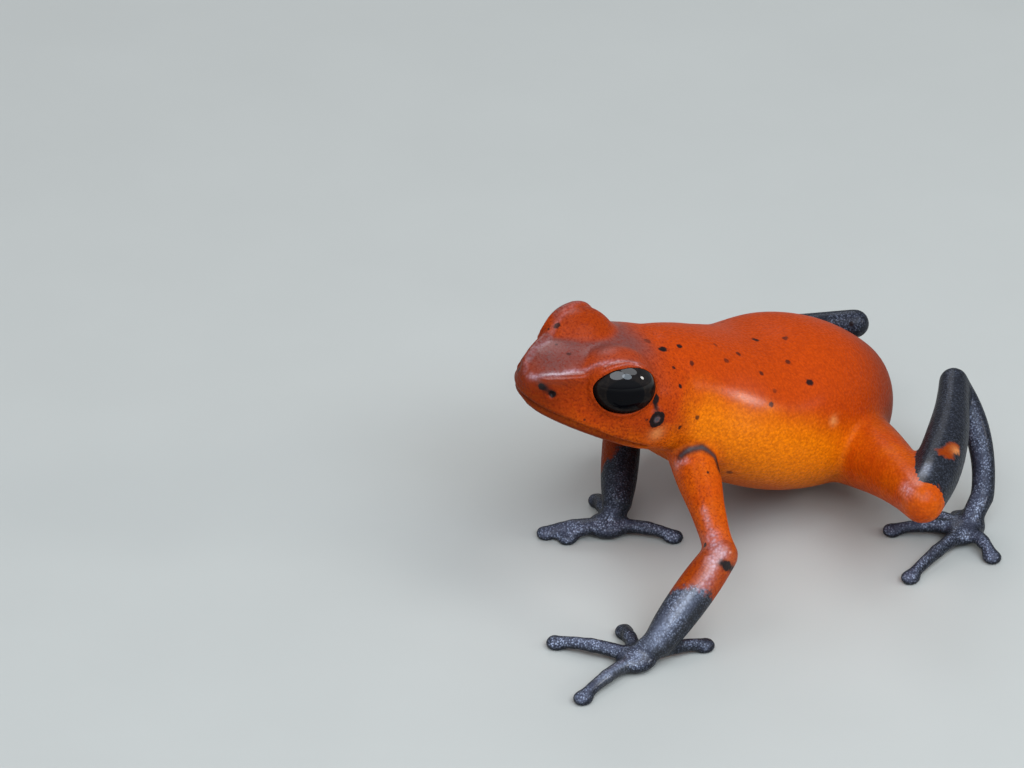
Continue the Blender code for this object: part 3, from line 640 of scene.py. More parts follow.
def paw(joint, pad, tips, form):
    """A hand or foot: its root at the wrist or ankle, the palm or sole, and the digits."""
    rise = Vector((0.0, 0.0, form["rise"]))
    pieces = [tube([joint, (joint + pad) / 2 + rise, pad], form["radii"])]
    longest = tips[form["longest"]]
    ahead = math.degrees(math.atan2(longest[1] - pad.y, longest[0] - pad.x)) - 90
    pad_frame = Matrix.Translation(pad) @ turn("Z", ahead)
    pieces.append(ball(Vector((0.0, form["ahead"], 0.0)), form["pad"], pad_frame))
    for start, tip in paw_lines(pad, tips, form):
        pieces += digit(start, tip)
    return pieces


def limb_bones():
    """Every limb segment: its kind, side, ends, thickness and bow."""
    bones = []
    for side, arm, leg in ((1, LEFT_ARM, LEFT_LEG), (-1, RIGHT_ARM, RIGHT_LEG)):
        bones += [
            ("upper_arm", side, mirrored(SHOULDER, side), arm["elbow"], UPPER_ARM_RADII, NO_BOW),
            ("forearm", side, arm["elbow"], arm["wrist"], FOREARM_RADII, NO_BOW),
            ("thigh", side, mirrored(HIP, side), leg["knee"], THIGH_RADII, mirrored(THIGH_BOW, side)),
            ("shank", side, leg["knee"], leg["heel"], SHANK_RADII, mirrored(SHANK_BOW, side)),
            ("tarsus", side, leg["heel"], leg["ankle"], TARSUS_RADII, mirrored(TARSUS_BOW, side)),
        ]
    return bones


def paws():
    """Each hand and foot: the joint it hangs on, its pad, its digits' tips and its form."""
    found = []
    for arm, leg in ((LEFT_ARM, LEFT_LEG), (RIGHT_ARM, RIGHT_LEG)):
        found.append((arm["wrist"], arm["palm"], arm["tips"], HAND))
        found.append((leg["ankle"], leg["sole"], leg["tips"], FOOT))
    return found


def head_forms():
    pieces = [loft(HEAD_SECTIONS, HEAD_ROUND, HEAD_BOXINESS, HEAD_FRAME)]
    for raise_by, inset, thickness in LIPS:
        lip = mouth_points(raise_by, inset)
        pieces.append(tube(lip, [thickness] * len(lip), 3))
    for side in (1, -1):
        pieces.append(ball(mirrored(LID_CENTRE, side), LID_SIZE, HEAD_FRAME, 48))
        pieces.append(ball(mirrored(NOSTRIL, side), (0.22, 0.26, 0.24), HEAD_FRAME))
        pieces.append(ball(mirrored(TYMPANUM, side), (0.20, 0.40, 0.40), HEAD_FRAME))
        ridge = [HEAD_FRAME @ mirrored(point, side) for point, _ in CANTHUS]
        pieces.append(tube(ridge, [radius for _, radius in CANTHUS]))
    return pieces


def joined(pieces):
    bpy.ops.object.select_all(action="DESELECT")
    for piece in pieces:
        piece.select_set(True)
    bpy.context.view_layer.objects.active = pieces[0]
    bpy.ops.object.join()
    return bpy.context.active_object


def with_modifier(obj, kind, **settings):
    """The object after one modifier, made real."""
    alone(obj)
    modifier = obj.modifiers.new(kind.title(), kind)
    for name, value in settings.items():
        setattr(modifier, name, value)
    bpy.ops.object.modifier_apply(modifier=modifier.name)
    return obj


def weighted(obj, name, weights):
    """Gives the object a vertex group with these weights."""
    group = obj.vertex_groups.new(name=name)
    for index in np.nonzero(weights > 0)[0]:
        group.add([int(index)], float(min(1.0, weights[index])), "REPLACE")
    return name


def places_of(obj):
    flat = np.empty(len(obj.data.vertices) * 3, np.float32)
    obj.data.vertices.foreach_get("co", flat)
    return flat.reshape(-1, 3).astype(float)


def normals_of(obj):
    flat = np.empty(len(obj.data.vertices) * 3, np.float32)
    obj.data.vertex_normals.foreach_get("vector", flat)
    return flat.reshape(-1, 3).astype(float)


def put_places(obj, places):
    obj.data.vertices.foreach_set("co", places.astype(np.float32).ravel())
    obj.data.update()


def fused(pieces, voxel):
    """Overlapping forms made one skin, evened out all over and drawn together where limbs join."""
    skin = with_modifier(joined(pieces), "REMESH", mode="VOXEL", voxel_size=voxel)
    joints = [(HEAD_FRAME @ Vector((0.0, 8.2, 0.0)), 4.4, 1.0)]
    for side, arm, leg in ((1, LEFT_ARM, LEFT_LEG), (-1, RIGHT_ARM, RIGHT_LEG)):
        joints.append((mirrored(SHOULDER, side).lerp(arm["elbow"], 0.3), 2.2, 1.0))
        joints.append((mirrored(HIP, side).lerp(leg["knee"], 0.3), 3.8, 1.3))
        joints += [(arm["elbow"], 1.2, 0.7), (leg["knee"], 1.5, 0.7), (leg["heel"], 1.2, 0.5)]
        joints.append((HEAD_FRAME @ mirrored(Vector((0.6, 2.9, 1.9)), side), 2.2, 0.9))
        joints.append((HEAD_FRAME @ mirrored(Vector((0.9, 5.8, 2.0)), side), 2.0, 0.9))
    places = places_of(skin)
    weights = np.zeros(len(places))
    for place, reach, share in joints:
        distance = np.linalg.norm(places - np.array(place), axis=1)
        weights = np.maximum(weights, share * (1 - distance / reach) * 1.6)
    group = weighted(skin, "joints", weights)
    with_modifier(skin, "SMOOTH", factor=0.5, iterations=3)
    steps = round(26 * (0.12 / voxel) ** 2)
    return with_modifier(skin, "SMOOTH", factor=0.5, iterations=steps, vertex_group=group)


def lid_outline(angle, grow=0.0):
    """A point of the lids' opening, seen along the eye's axis, a little pointed at both corners."""
    x = (EYE_OPENING[0] + grow) * math.cos(angle)
    y = (EYE_OPENING[1] + grow) * math.sin(angle) * (1 - LID_CORNERS * abs(math.cos(angle)) ** 3)
    return x, y


def lid_margin(skin, side, grow, steps=56):
    """Points where the lids' opening meets the skin, in the frog's frame."""
    alone(skin)
    tree = BVHTree.FromObject(skin, bpy.context.evaluated_depsgraph_get())
    place = eye_frame(side)
    points = []
    for i in range(steps):
        x, y = lid_outline(2 * math.pi * i / steps, grow)
        inner, outer = 0.2, 2.4
        for _ in range(16):
            level = (inner + outer) / 2
            here = place @ Vector((x, y, level))
            found, normal, _, _ = tree.find_nearest(here)
            if (here - found).dot(normal) > 0:
                outer = level
            else:
                inner = level
        points.append(here)
    return points


def lid_rims(skin):
    """The thickened edges of the lids round each eye."""
    rims = []
    margins = []
    for side in (1, -1):
        margin = lid_margin(skin, side, 0.07)
        points = []
        radii = []
        for i in range(len(margin) + 1):
            upper = side * math.sin(2 * math.pi * i / len(margin))
            points.append(margin[i % len(margin)])
            radii.append(0.15 + 0.05 * upper)
        rims.append(tube(points, radii, 4))
        margins.append(lid_margin(skin, side, -0.01))
    return rims, margins


def lid_plug(side):
    """The plug that opens the lids over the eye."""
    steps = 64
    bpy.ops.mesh.primitive_cylinder_add(vertices=steps, radius=1.0, depth=1.0)
    plug = bpy.context.active_object
    place = eye_frame(side)
    for vert in plug.data.vertices:
        upper = vert.co.z > 0
        x, y = lid_outline(math.atan2(vert.co.y, vert.co.x), 0.10 if upper else 0.0)
        vert.co = place @ Vector((x, y, 2.6 if upper else EYE_OUT))
    return plug


def eye_form(side, grow=0.0, segments=96):
    size = tuple(half + grow for half in EYE_SIZE)
    return ball(Vector((0.0, 0.0, EYE_OUT)), size, eye_frame(side), segments)


def cut(obj, cutter):
    """The object with one closed cutter taken away. The cutter is removed."""
    with_modifier(obj, "BOOLEAN", operation="DIFFERENCE", solver="MANIFOLD", object=cutter)
    bpy.data.objects.remove(cutter)
    return obj


def near(places, points, reach):
    """Distance of each place from the nearest of the points, or the reach where that is further."""
    points = np.array([tuple(p) for p in points], float)
    low = points.min(0) - reach
    high = points.max(0) + reach
    inside = np.nonzero(np.all((places > low) & (places < high), axis=1))[0]
    distance = np.full(len(places), float(reach))
    for chunk in np.array_split(inside, len(inside) // 4000 + 1):
        if len(chunk):
            gap = np.linalg.norm(places[chunk][:, None, :] - points[None], axis=2).min(1)
            distance[chunk] = np.minimum(gap, reach)
    return distance


def dense(points, spacing=0.05):
    """The same path with points at an even, fine spacing."""
    found = []
    for start, end in zip(points, points[1:]):
        count = max(1, round((end - start).length / spacing))
        found += [start.lerp(end, i / count) for i in range(count)]
    return found + [points[-1]]


def hill(distance, width, centre=0.0):
    return np.exp(-(((distance - centre) / width) ** 2))


def sculpt_head(skin, sizes):
    """The mouth's groove, the nostrils, the ear discs and the snout's edges, pushed into the skin."""
    places = places_of(skin)
    normals = normals_of(skin)
    push = np.zeros(len(places))
    mouth = near(places, dense(mouth_points(0.0, 0.0)), 0.8)
    push -= sizes.mouth_depth * hill(mouth, 0.075)
    push += 0.03 * hill(mouth, 0.10, 0.24)
    for side in (1, -1):
        nostril = near(places, [outwards(NOSTRIL + Vector((0.0, -0.04, 0.0)), side, 0.16)], 0.8)
        push -= 0.20 * hill(nostril, 0.12)
        push += 0.05 * hill(nostril, 0.09, 0.26)
        ear = near(places, [outwards(TYMPANUM, side, 0.14)], 1.0)
        push += 0.05 * hill(ear, 0.08, 0.36)
        push -= 0.035 * hill(ear, 0.24)
        push += 0.11 * hill(near(places, dense(head_line(CANTHUS_EDGE, side)), 0.9), 0.19)
        push -= 0.10 * hill(near(places, dense(head_line(LORE, side)), 1.4), 0.42)
    put_places(skin, places + normals * push[:, None])


def sculpt_body(skin):
    """Soft folds at the shoulders and the groins."""
    places = places_of(skin)
    normals = normals_of(skin)
    push = np.zeros(len(places))
    for line, depth, width in FOLDS:
        for side in (1, -1):
            points = dense([mirrored(Vector(point), side) for point in line], 0.15)
            push -= depth * hill(near(places, points, width * 3), width)
    put_places(skin, places + normals * push[:, None])


def thinned(skin, most):
    """The skin with fewer triangles where it is plain, and all of them on the head and at spots."""
    count = len(skin.data.loops) - 2 * len(skin.data.polygons)
    if count <= most:
        return skin
    places = places_of(skin)
    head_middle = HEAD_FRAME @ Vector((0.0, 3.6, 0.3))
    plain = ramp(np.linalg.norm(places - np.array(head_middle), axis=1), 4.2, 5.2)
    for centre, radius, _ in SPOTS:
        plain = plain * ramp(near(places, [Vector(centre)], 1.0), radius + 0.1, radius + 0.4)
    group = weighted(skin, "plain", plain)
    with_modifier(skin, "DECIMATE", ratio=most / count, vertex_group=group)
    skin.vertex_groups.clear()
    return skin


def resting(skin):
    """Flattens what would sink into the floor, as a live animal's pads are."""
    places = places_of(skin)
    places[:, 2] = np.maximum(places[:, 2], 0.0)
    put_places(skin, places)


def local_to(place, places):
    """The places in a frame's own coordinates."""
    back = np.array(place.inverted())
    return places @ back[:3, :3].T + back[:3, 3]


def form_gap(rows, rounding, place, places):
    """How far each place stands off a lofted form's surface, roughly, and its local coordinates."""
    local = local_to(place, places)
    stations = np.linspace(rows[0][0], rows[-1][0], 90)
    table = np.array([section(rows, rounding, at) for at in stations])
    width, top, middle, bottom = (np.interp(local[:, 1], stations, table[:, i]) for i in range(4))
    reach = np.where(local[:, 2] > middle, top - middle, middle - bottom)
    ring = np.hypot(local[:, 0] / np.maximum(width, 0.05), (local[:, 2] - middle) / np.maximum(reach, 0.05))
    outside = np.maximum(rows[0][0] - local[:, 1], local[:, 1] - rows[-1][0])
    across = np.maximum(np.minimum(width, reach), 0.4)
    return np.maximum((ring - 1) * across, outside), local


def ramp(values, low, high):
    t = np.clip((values - low) / (high - low), 0, 1)
    return t * t * (3 - 2 * t)


def bone_gap(places, start, end, radii, bow, steps=24):
    """How far each place stands off a limb segment, and how far along it, as a share of its length."""
    gap = np.full(len(places), FAR)
    share = np.zeros(len(places))
    for i, point in enumerate(bend(start, (start + end) / 2 + bow, end, steps)):
        distance = np.linalg.norm(places - np.array(point), axis=1) - smooth_row(radii, i / steps)[1]
        closer = distance < gap
        gap = np.where(closer, distance, gap)
        share = np.where(closer, i / steps, share)
    return gap, share


def limb_zones(places, best, zones):
    """Gives the points of the limbs their own borders, flecks and warmth."""

    def claim(gap, values):
        """Sets values where this form is the nearest so far, and returns the least gap."""
        mine = gap < best
        for name, value in values.items():
            zones[name] = np.where(mine, value, zones[name])
        return np.where(mine, gap, best)

    for kind, side, start, end, radii, bow in limb_bones():
        gap, share = bone_gap(places, start, end, radii, bow)
        length = (end - start).length
        along = share * length
        slant = FOREARM_SLANT * np.clip(np.abs(places[:, 0]) - 7.4, -0.6, 0.6)
        if side < 0:
            slant = -FAR_SLANT * ((places - np.array(start)) @ np.array(FAR_EDGE)) - 0.5
        beyond = {
            "upper_arm": along - length - FOREARM_BORDER,
            "forearm": along - FOREARM_BORDER + slant,
            "thigh": along - length - THIGH_BORDER,
            "shank": along - SHANK_BORDER,
            "tarsus": along - TARSUS_BORDER,
        }
        low, high = FAR_SILVER if kind == "forearm" and side < 0 else SILVER[kind]
        zones["warm"] = zones["warm"] + (LIMB_WARM - zones["warm"]) * ramp(best - gap, -1.0, 0.8)
        values = {
            "dark": beyond[kind],
            "silver_and_sheen": low + (high - low) * share,
            "far_arm": float(side < 0 and kind in ("upper_arm", "forearm")),
            "forearm": float(kind == "forearm"),
        }
        best = claim(gap, values)
    for joint, pad, tips, form in paws():
        gap = near(places, dense([joint, pad], 0.1), 2.5) - 0.6
        for start, tip in paw_lines(pad, tips, form):
            off_digit = near(places, dense(digit_line(start, tip), 0.15), 2.5) - DIGIT_RADIUS
            gap = np.minimum(gap, off_digit)
        best = claim(gap, {"dark": 5.0, "silver_and_sheen": PAW_SILVER})


def head_shades(head, on_head, normals):
    """Per point of the head: how grey the crown is, partly its own tone and partly painted sky reflection,
    and the painted shade on lips, snout, far lid and face.
    """
    up = np.array(HEAD_FRAME.to_3x3() @ Vector((0.0, 0.0, 1.0)))
    from_far_lid = np.linalg.norm(head - np.array(mirrored(LID_CENTRE, -1)), axis=1)
    off_far_lid = ramp(from_far_lid, 1.45, 1.85)
    # Greyer where the head's skin faces up: partly the crown's own tone, partly a painted reflection of the
    # sky.
    crown = on_head * ramp(normals @ up, 0.40, 0.80) * (1 - ramp(head[:, 1], 4.6, 7.4))
    crown = crown * off_far_lid * (1 - 0.65 * ramp(head[:, 0], 0.5, 1.7))
    stations, heights = zip(*MOUTH_LINE)
    below = np.interp(head[:, 1], stations, heights) - head[:, 2]
    # Painted shade below the mouth's line, on the snout's front, on the far lid and over the face.
    shades = (
        ramp(below, -0.08, 0.12) * (1 - ramp(below, 0.45, 0.90)) * (1 - ramp(head[:, 1], 3.6, 6.2)),
        0.9 * (1 - ramp(head[:, 1], 0.8, 3.4)) * (1 - 0.5 * crown),
        0.5 * (1 - off_far_lid),
        0.28 * (1 - ramp(head[:, 1], 4.5, 7.5)),
    )
    return crown, [on_head * shade for shade in shades]


def colour_zones(skin):
    """Per point: millimetres beyond the orange's end, how amber it is, how flecked it is with its painted
    sheen, how grey its crown is from its own tone and painted sky reflection, and its painted shade and
    darker tone.
    """
    places = places_of(skin)
    normals = normals_of(skin)
    trunk_gap, trunk = form_gap(TRUNK_SECTIONS, TRUNK_ROUND, TRUNK_FRAME, places)
    head_gap, head = form_gap(HEAD_SECTIONS, HEAD_ROUND, HEAD_FRAME, places)
    on_head = ramp(trunk_gap - head_gap, -0.9, 0.9)
    head_warm = ramp(-head[:, 2], -0.2, 1.4) * 0.45
    flank_warm = ramp(-trunk[:, 2], -2.3, 0.5) * (1 - 0.5 * ramp(-trunk[:, 2], 1.0, 2.8))
    zones = {name: np.zeros(len(places)) for name in ("silver_and_sheen", "far_arm", "forearm")}
    zones["dark"] = np.full(len(places), -FAR)
    zones["warm"] = head_warm * on_head + flank_warm * (1 - on_head)
    limb_zones(places, np.minimum(trunk_gap, head_gap), zones)

    from_patch = near(places, dense([Vector(point) for point in SHANK_PATCH]), 1.5)
    dark = zones["dark"]
    dark = np.where(dark > 0, np.minimum(dark, 2.0 * (from_patch - SHANK_PATCH_HALF)), dark)
    crown, shades = head_shades(head, on_head, normals)
    # Painted shade on the rump, on the skin facing down and on the far arm's side turned from the light;
    # the shank's patch and the forearm's orange get a darker tone.
    rump = ramp(trunk[:, 1], 15.5, 19.5) * ramp(trunk[:, 2] + 0.3 * trunk[:, 1], 4.0, 7.0)
    shades += [
        0.5 * ramp(-normals[:, 2], 0.3, 1.0),
        0.8 * (1 - on_head) * rump,
        0.8 * (1 - ramp(from_patch, 0.3, 0.6)),
        zones["far_arm"] * ramp(normals @ np.array(FAR_SHADE), -0.8, -0.2),
        0.5 * zones["forearm"],
    ]
    # Painted sheen: the flecks and their blue-grey ground are made stronger on the side facing the light.
    lit = ramp(normals @ np.array(SHEEN_SIDE), 0.50, 1.0)
    return {
        "dark": dark,
        "warm": zones["warm"],
        "head": on_head,
        "silver_and_sheen": zones["silver_and_sheen"] * (0.05 + 0.95 * lit),
        "crown": crown * (dark < 1 - FAR),
        "painted_shade_and_tone": np.maximum.reduce(shades) * (dark < 1.5),
    }


def strongest(places, lines):
    """Per point: the strongest of some soft streaks, each with its line, strength and half width."""
    values = np.zeros(len(places))
    for line, strength, width in lines:
        away = near(places, dense([Vector(point) for point in line]), width * 3.5)
        values = np.maximum(values, strength * hill(away, width))
    return values


def crease_lines(margins):
    """Every dark line: painted shade along the mouth, the lids' edges and the arm's root, and dark marks of
    both sides.
    """
    lines = [(mouth_points(0.0, 0.0), *MOUTH_CREASE)]
    lines += [(margin + margin[:1], *LID_CREASE) for margin in margins]
    for line, strength, width in CREASES:
        for side in (1, -1):
            lines.append(([mirrored(Vector(point), side) for point in line], strength, width))
    return lines


def gleam_lines(widen=1.0):
    """Every line on which a reflection of the sky is painted, widened by a factor."""
    lines = list(GLEAMS)
    for side, share in ((1, 1.0), (-1, 0.35)):
        ridge = head_line(SHINE, side)
        lines += [(ridge, 0.36 * share, 0.10), (ridge[:SHINE_ON_SNOUT], 0.50 * share, 0.13)]
    return [(line, strength, width * widen) for line, strength, width in lines]


def wet_values(places):
    """Per point: how much more the skin shines there."""
    ridges = [(head_line(SHINE, 1), 1.0, 0.36), (head_line(SHINE, -1), 0.3, 0.36)]
    round_gleams = np.minimum(strongest(places, gleam_lines(2.2)) * 2.5, 1.0)
    return np.maximum(round_gleams, strongest(places, list(WET_PLACES) + ridges))


def put_values(skin, name, values):
    attribute = skin.data.attributes.new(name, "FLOAT", "POINT")
    attribute.data.foreach_set("value", values.astype(np.float32))


def scattered_spots(skin, count):
    """Small spots on the far side and the rump, on points of the skin chosen with a fixed seed."""
    chance = random.Random(11)
    verts = skin.data.vertices
    found = []
    while len(found) < count:
        here = verts[chance.randrange(len(verts))].co
        if here.z > 4.0 and here.x < 1.2 and abs(here.x) < 4.6 and not (here.x > -0.6 and here.y < 6.0):
            found.append((tuple(here), 0.07 + 0.12 * chance.random() ** 2, 0.5 + 0.4 * chance.random()))
    return found


def spot_values(skin, places, sizes):
    """Per point: distance from the nearest mark as a share of its radius, its strength, and the eardrum's
    grey with a painted highlight on the shoulder's line.
    """
    values = np.full(len(places), 4.0)
    strength = np.ones(len(places))
    drum_and_arc_highlight = np.zeros(len(places))
    marks = []
    for centre, radius, force in list(SPOTS) + scattered_spots(skin, sizes.spots):
        away = np.linalg.norm(places - np.array(centre), axis=1)
        on_skin = places[int(np.argmin(away))]
        marks.append((np.linalg.norm(places - on_skin, axis=1) / radius, force))
    for side in (1, -1):
        from_ear = np.linalg.norm(places - np.array(outwards(TYMPANUM, side, 0.15)), axis=1)
        marks.append((np.abs(from_ear - EAR_RING[0]) / EAR_RING[1], 1.0))
        drum_and_arc_highlight = np.maximum(drum_and_arc_highlight, 1 - ramp(from_ear, EAR_DRUM * 0.6, EAR_DRUM * 1.2))
        from_nostril = np.linalg.norm(places - np.array(outwards(NOSTRIL, side, 0.16)), axis=1)
        marks.append((from_nostril / NOSTRIL_MARK, 1.0))
        # A painted highlight along the middle of the shoulder's dark line.
        arc = [mirrored(Vector(point), side) for point in ARM_ARC[:-1]]
        drum_and_arc_highlight = np.maximum(drum_and_arc_highlight, strongest(places, [(arc, 0.75, 0.08)]))
    for share, force in marks:
        strength = np.where(share < values, force, strength)
        values = np.minimum(values, share)
    return {"spot": np.minimum(values, 4.0), "strength": strength, "drum_and_arc_highlight": drum_and_arc_highlight}


class Wire:
    """A material's socket on which Python arithmetic adds Math nodes."""

    def __init__(self, tree, socket):
        self.tree = tree
        self.socket = socket

    def math(self, operation, *values):
        return add_node(self.tree, "ShaderNodeMath", {"operation": operation}, dict(enumerate(values)))

    def __add__(self, other):
        return self.math("ADD", self, other)

    def __sub__(self, other):
        return self.math("SUBTRACT", self, other)

    def __rsub__(self, other):
        return self.math("SUBTRACT", other, self)

    def __mul__(self, other):
        return self.math("MULTIPLY", self, other)

    __radd__ = __add__
    __rmul__ = __mul__

    def step(self, low, high):
        """0 below the low value, 1 above the high one, and smooth between them."""
        ends = {"Value": self, "From Min": low, "From Max": high}
        return add_node(self.tree, "ShaderNodeMapRange", {"interpolation_type": "SMOOTHSTEP"}, ends)


def add_node(tree, kind, settings, values, output=0):
    """A node with its settings and inputs given, as the wire of one of its outputs."""
    node = tree.nodes.new(kind)
    for name, value in settings.items():
        setattr(node, name, value)
    for key, value in values.items():
        if isinstance(value, Wire):
            tree.links.new(value.socket, node.inputs[key])
        else:
            node.inputs[key].default_value = value
    return Wire(tree, node.outputs[output])


def blended(tree, share, first, second):
    """A mix of two colours."""
    pair = {0: share}
    for key, value in ((6, first), (7, second)):
        pair[key] = value if isinstance(value, Wire) else (*value, 1.0)
    return add_node(tree, "ShaderNodeMix", {"data_type": "RGBA"}, pair, 2)


def new_material(name, constants):
    """A material with some of its shader's inputs set, its node tree and its shader."""
    made = bpy.data.materials.new(name)
    made.use_nodes = True
    shader = made.node_tree.nodes["Principled BSDF"]
    for key, value in constants.items():
        shader.inputs[key].default_value = value
    return made, made.node_tree, shader


def link_in(tree, wire, shader, name):
    tree.links.new(wire.socket, shader.inputs[name])


def attribute(tree, name):
    return add_node(tree, "ShaderNodeAttribute", {"attribute_name": name}, {}, 2)


def texture(tree, kind, scale, detail):
    """A noise or cell pattern in the object's own coordinates."""
    place = add_node(tree, "ShaderNodeTexCoord", {}, {}, 3)
    return add_node(tree, kind, {}, {"Vector": place, "Scale": scale, "Detail": detail})


def skin_material(colours, sizes):
    """Orange skin with painted shade and darker tones, a crown grey partly from painted sky reflection,
    pale spots, a painted jaw highlight and painted sky reflections, dark limbs with flecks and a painted
    sheen, spots and dark lines.
    """
    constants = {"Specular IOR Level": 0.04, "Coat Roughness": 0.25}
    made, tree, shader = new_material("granular_frog_skin", constants)

    def noise(scale, detail):
        return texture(tree, "ShaderNodeTexNoise", scale, detail)

    def zone(name):
        return attribute(tree, name)

    granules = texture(tree, "ShaderNodeTexVoronoi", 1.0 / sizes.granule, 0.0)
    glints = texture(tree, "ShaderNodeTexVoronoi", GLINTS_PER_GRANULE / sizes.granule, 0.0)
    glint_colour = Wire(tree, glints.socket.node.outputs["Color"])
    flecks = add_node(tree, "ShaderNodeSeparateColor", {}, {0: glint_colour})
    blotches = noise(*BLOTCHES)
    fine = noise(*FINE)
    dark = (zone("dark") + (blotches - 0.5) * 1.4 + (fine - 0.5) * 0.7).step(-0.22, 0.22)
    off_spot = (zone("spot") + (fine - 0.5) * 0.9).step(0.62, 1.22)
    spots = (1.0 - off_spot) * zone("strength")

    warm = (zone("warm") + (blotches - 0.5) * 0.5).step(0.05, 0.95)
    orange = blended(tree, warm, colours.red, colours.amber)
    # Painted shade, and a darker tone on the forearm's orange and the shank's patch.
    orange = blended(tree, zone("painted_shade_and_tone") * 0.8, orange, colours.painted_shade_and_tone)
    # The crown's grey, partly its own tone and partly a painted reflection of the sky.
    crown = zone("crown") * (0.50 + blotches * 0.5)
    orange = blended(tree, crown.step(0.0, 1.0), orange, colours.crown)
    specks = 1.0 - noise(*SPECKS).step(0.36, 0.46)
    gaps = 1.0 - fine.step(0.35, 0.65)
    # Painted shade in the grooves between the granules, with darker mottling and dark specks that are the
    # skin's own.
    shade = granules.step(0.20, 0.80) * 0.20 + gaps * 0.16 + specks * (0.12 + zone("head") * 0.33)
    orange = blended(tree, shade, orange, colours.speck)
    # Pale spots, and a painted highlight at the corner of the jaw.
    orange = blended(tree, zone("pale"), orange, colours.pale)

    # Flecks on a blue-grey ground, stronger on the side facing the light as a painted sheen.
    patches = noise(*PATCHES).step(0.28, 0.62) * zone("silver_and_sheen")
    flecked = (1.0 - glints.step(0.10, 0.75)) * (0.25 + flecks.step(0.2, 0.9) * 0.75)
    night = blended(tree, zone("silver_and_sheen") * blotches, colours.night, colours.steel)
    night = blended(tree, flecked * (0.10 + patches * 0.90), night, colours.silver_and_sheen)

    colour = blended(tree, dark, orange, night)
    # A painted reflection of the sky, lilac on the orange and blue on the dark skin.
    gleam = zone("gleam") * (1.15 - granules.step(0.15, 0.85) * 0.8) * (0.5 + fine)
    colour = blended(tree, gleam, colour, blended(tree, dark, colours.lilac, colours.blue))
    # Black spots, and painted shade along the mouth, the lids and the arm's root, with a few dark marks.
    colour = blended(tree, (spots + zone("crease_shade_and_marks")).step(0.0, 1.0), colour, colours.spot)
    # The eardrum's grey, and a painted highlight on the shoulder's line.
    colour = blended(tree, zone("drum_and_arc_highlight"), colour, colours.drum_and_arc_highlight)
    link_in(tree, colour, shader, "Base Color")
    link_in(tree, 0.40 + granules * 0.18 - dark * 0.05, shader, "Roughness")
    wet = 0.06 + zone("wet") * 0.94 + dark * 0.17 + zone("crown") * 0.22
    link_in(tree, wet, shader, "Coat Weight")
    height = (1.0 - granules.step(0.0, 0.85)) + blotches * 0.8
    bump = add_node(tree, "ShaderNodeBump", {}, {"Height": height, "Strength": 0.75, "Distance": 0.000030})
    link_in(tree, bump, shader, "Normal")
    return made


def eye_material(colours):
    """A black pupil in a dark brown iris under a wet coat that is dull where it faces the floor."""
    constants = {"Roughness": 0.30, "Specular IOR Level": 0.0, "Coat IOR": 1.50, "Coat Roughness": 0.03}
    made, tree, shader = new_material("wet_eye", constants)
    bright = texture(tree, "ShaderNodeTexNoise", 6000.0, 3.0).step(0.40, 0.70) * 0.5
    iris = blended(tree, bright, colours.iris, colours.rays)
    pupil = 1.0 - attribute(tree, "iris").step(0.56, 0.60)
    link_in(tree, blended(tree, pupil, iris, colours.pupil), shader, "Base Color")
    link_in(tree, attribute(tree, "gloss"), shader, "Coat Weight")
    return made


def floor_material(colours):
    made, tree, shader = new_material("pale_floor", {"Roughness": 0.75})
    darker = tuple(channel * 0.93 for channel in colours.floor)
    cloud = texture(tree, "ShaderNodeTexNoise", 120.0, 4.0)
    link_in(tree, blended(tree, cloud, darker, colours.floor), shader, "Base Color")
    return made


def home_shift(skin):
    """The move that sets the skin's box over the origin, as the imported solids' box is."""
    places = places_of(skin)
    low, high = places.min(0), places.max(0)
    middle = (np.array(CAD_BOX[0]) + np.array(CAD_BOX[1])) / 2 / MM
    ours = (low + high) / 2
    return Vector((middle[0] - ours[0], middle[1] - ours[1], -low[2]))


def finished(obj, name, shift, material, nodes):
    """Moves a piece from millimetres in the frog's frame over its solids and gives it its finish."""
    obj.name = name
    obj.data.name = name
    obj.matrix_world = Matrix.Diagonal((MM, MM, MM, 1.0)) @ Matrix.Translation(shift)
    settled(obj)
    obj.data.materials.clear()
    obj.data.materials.append(material)
    bpy.ops.object.shade_smooth()
    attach(obj, "root")
    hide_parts(*nodes)
    return obj


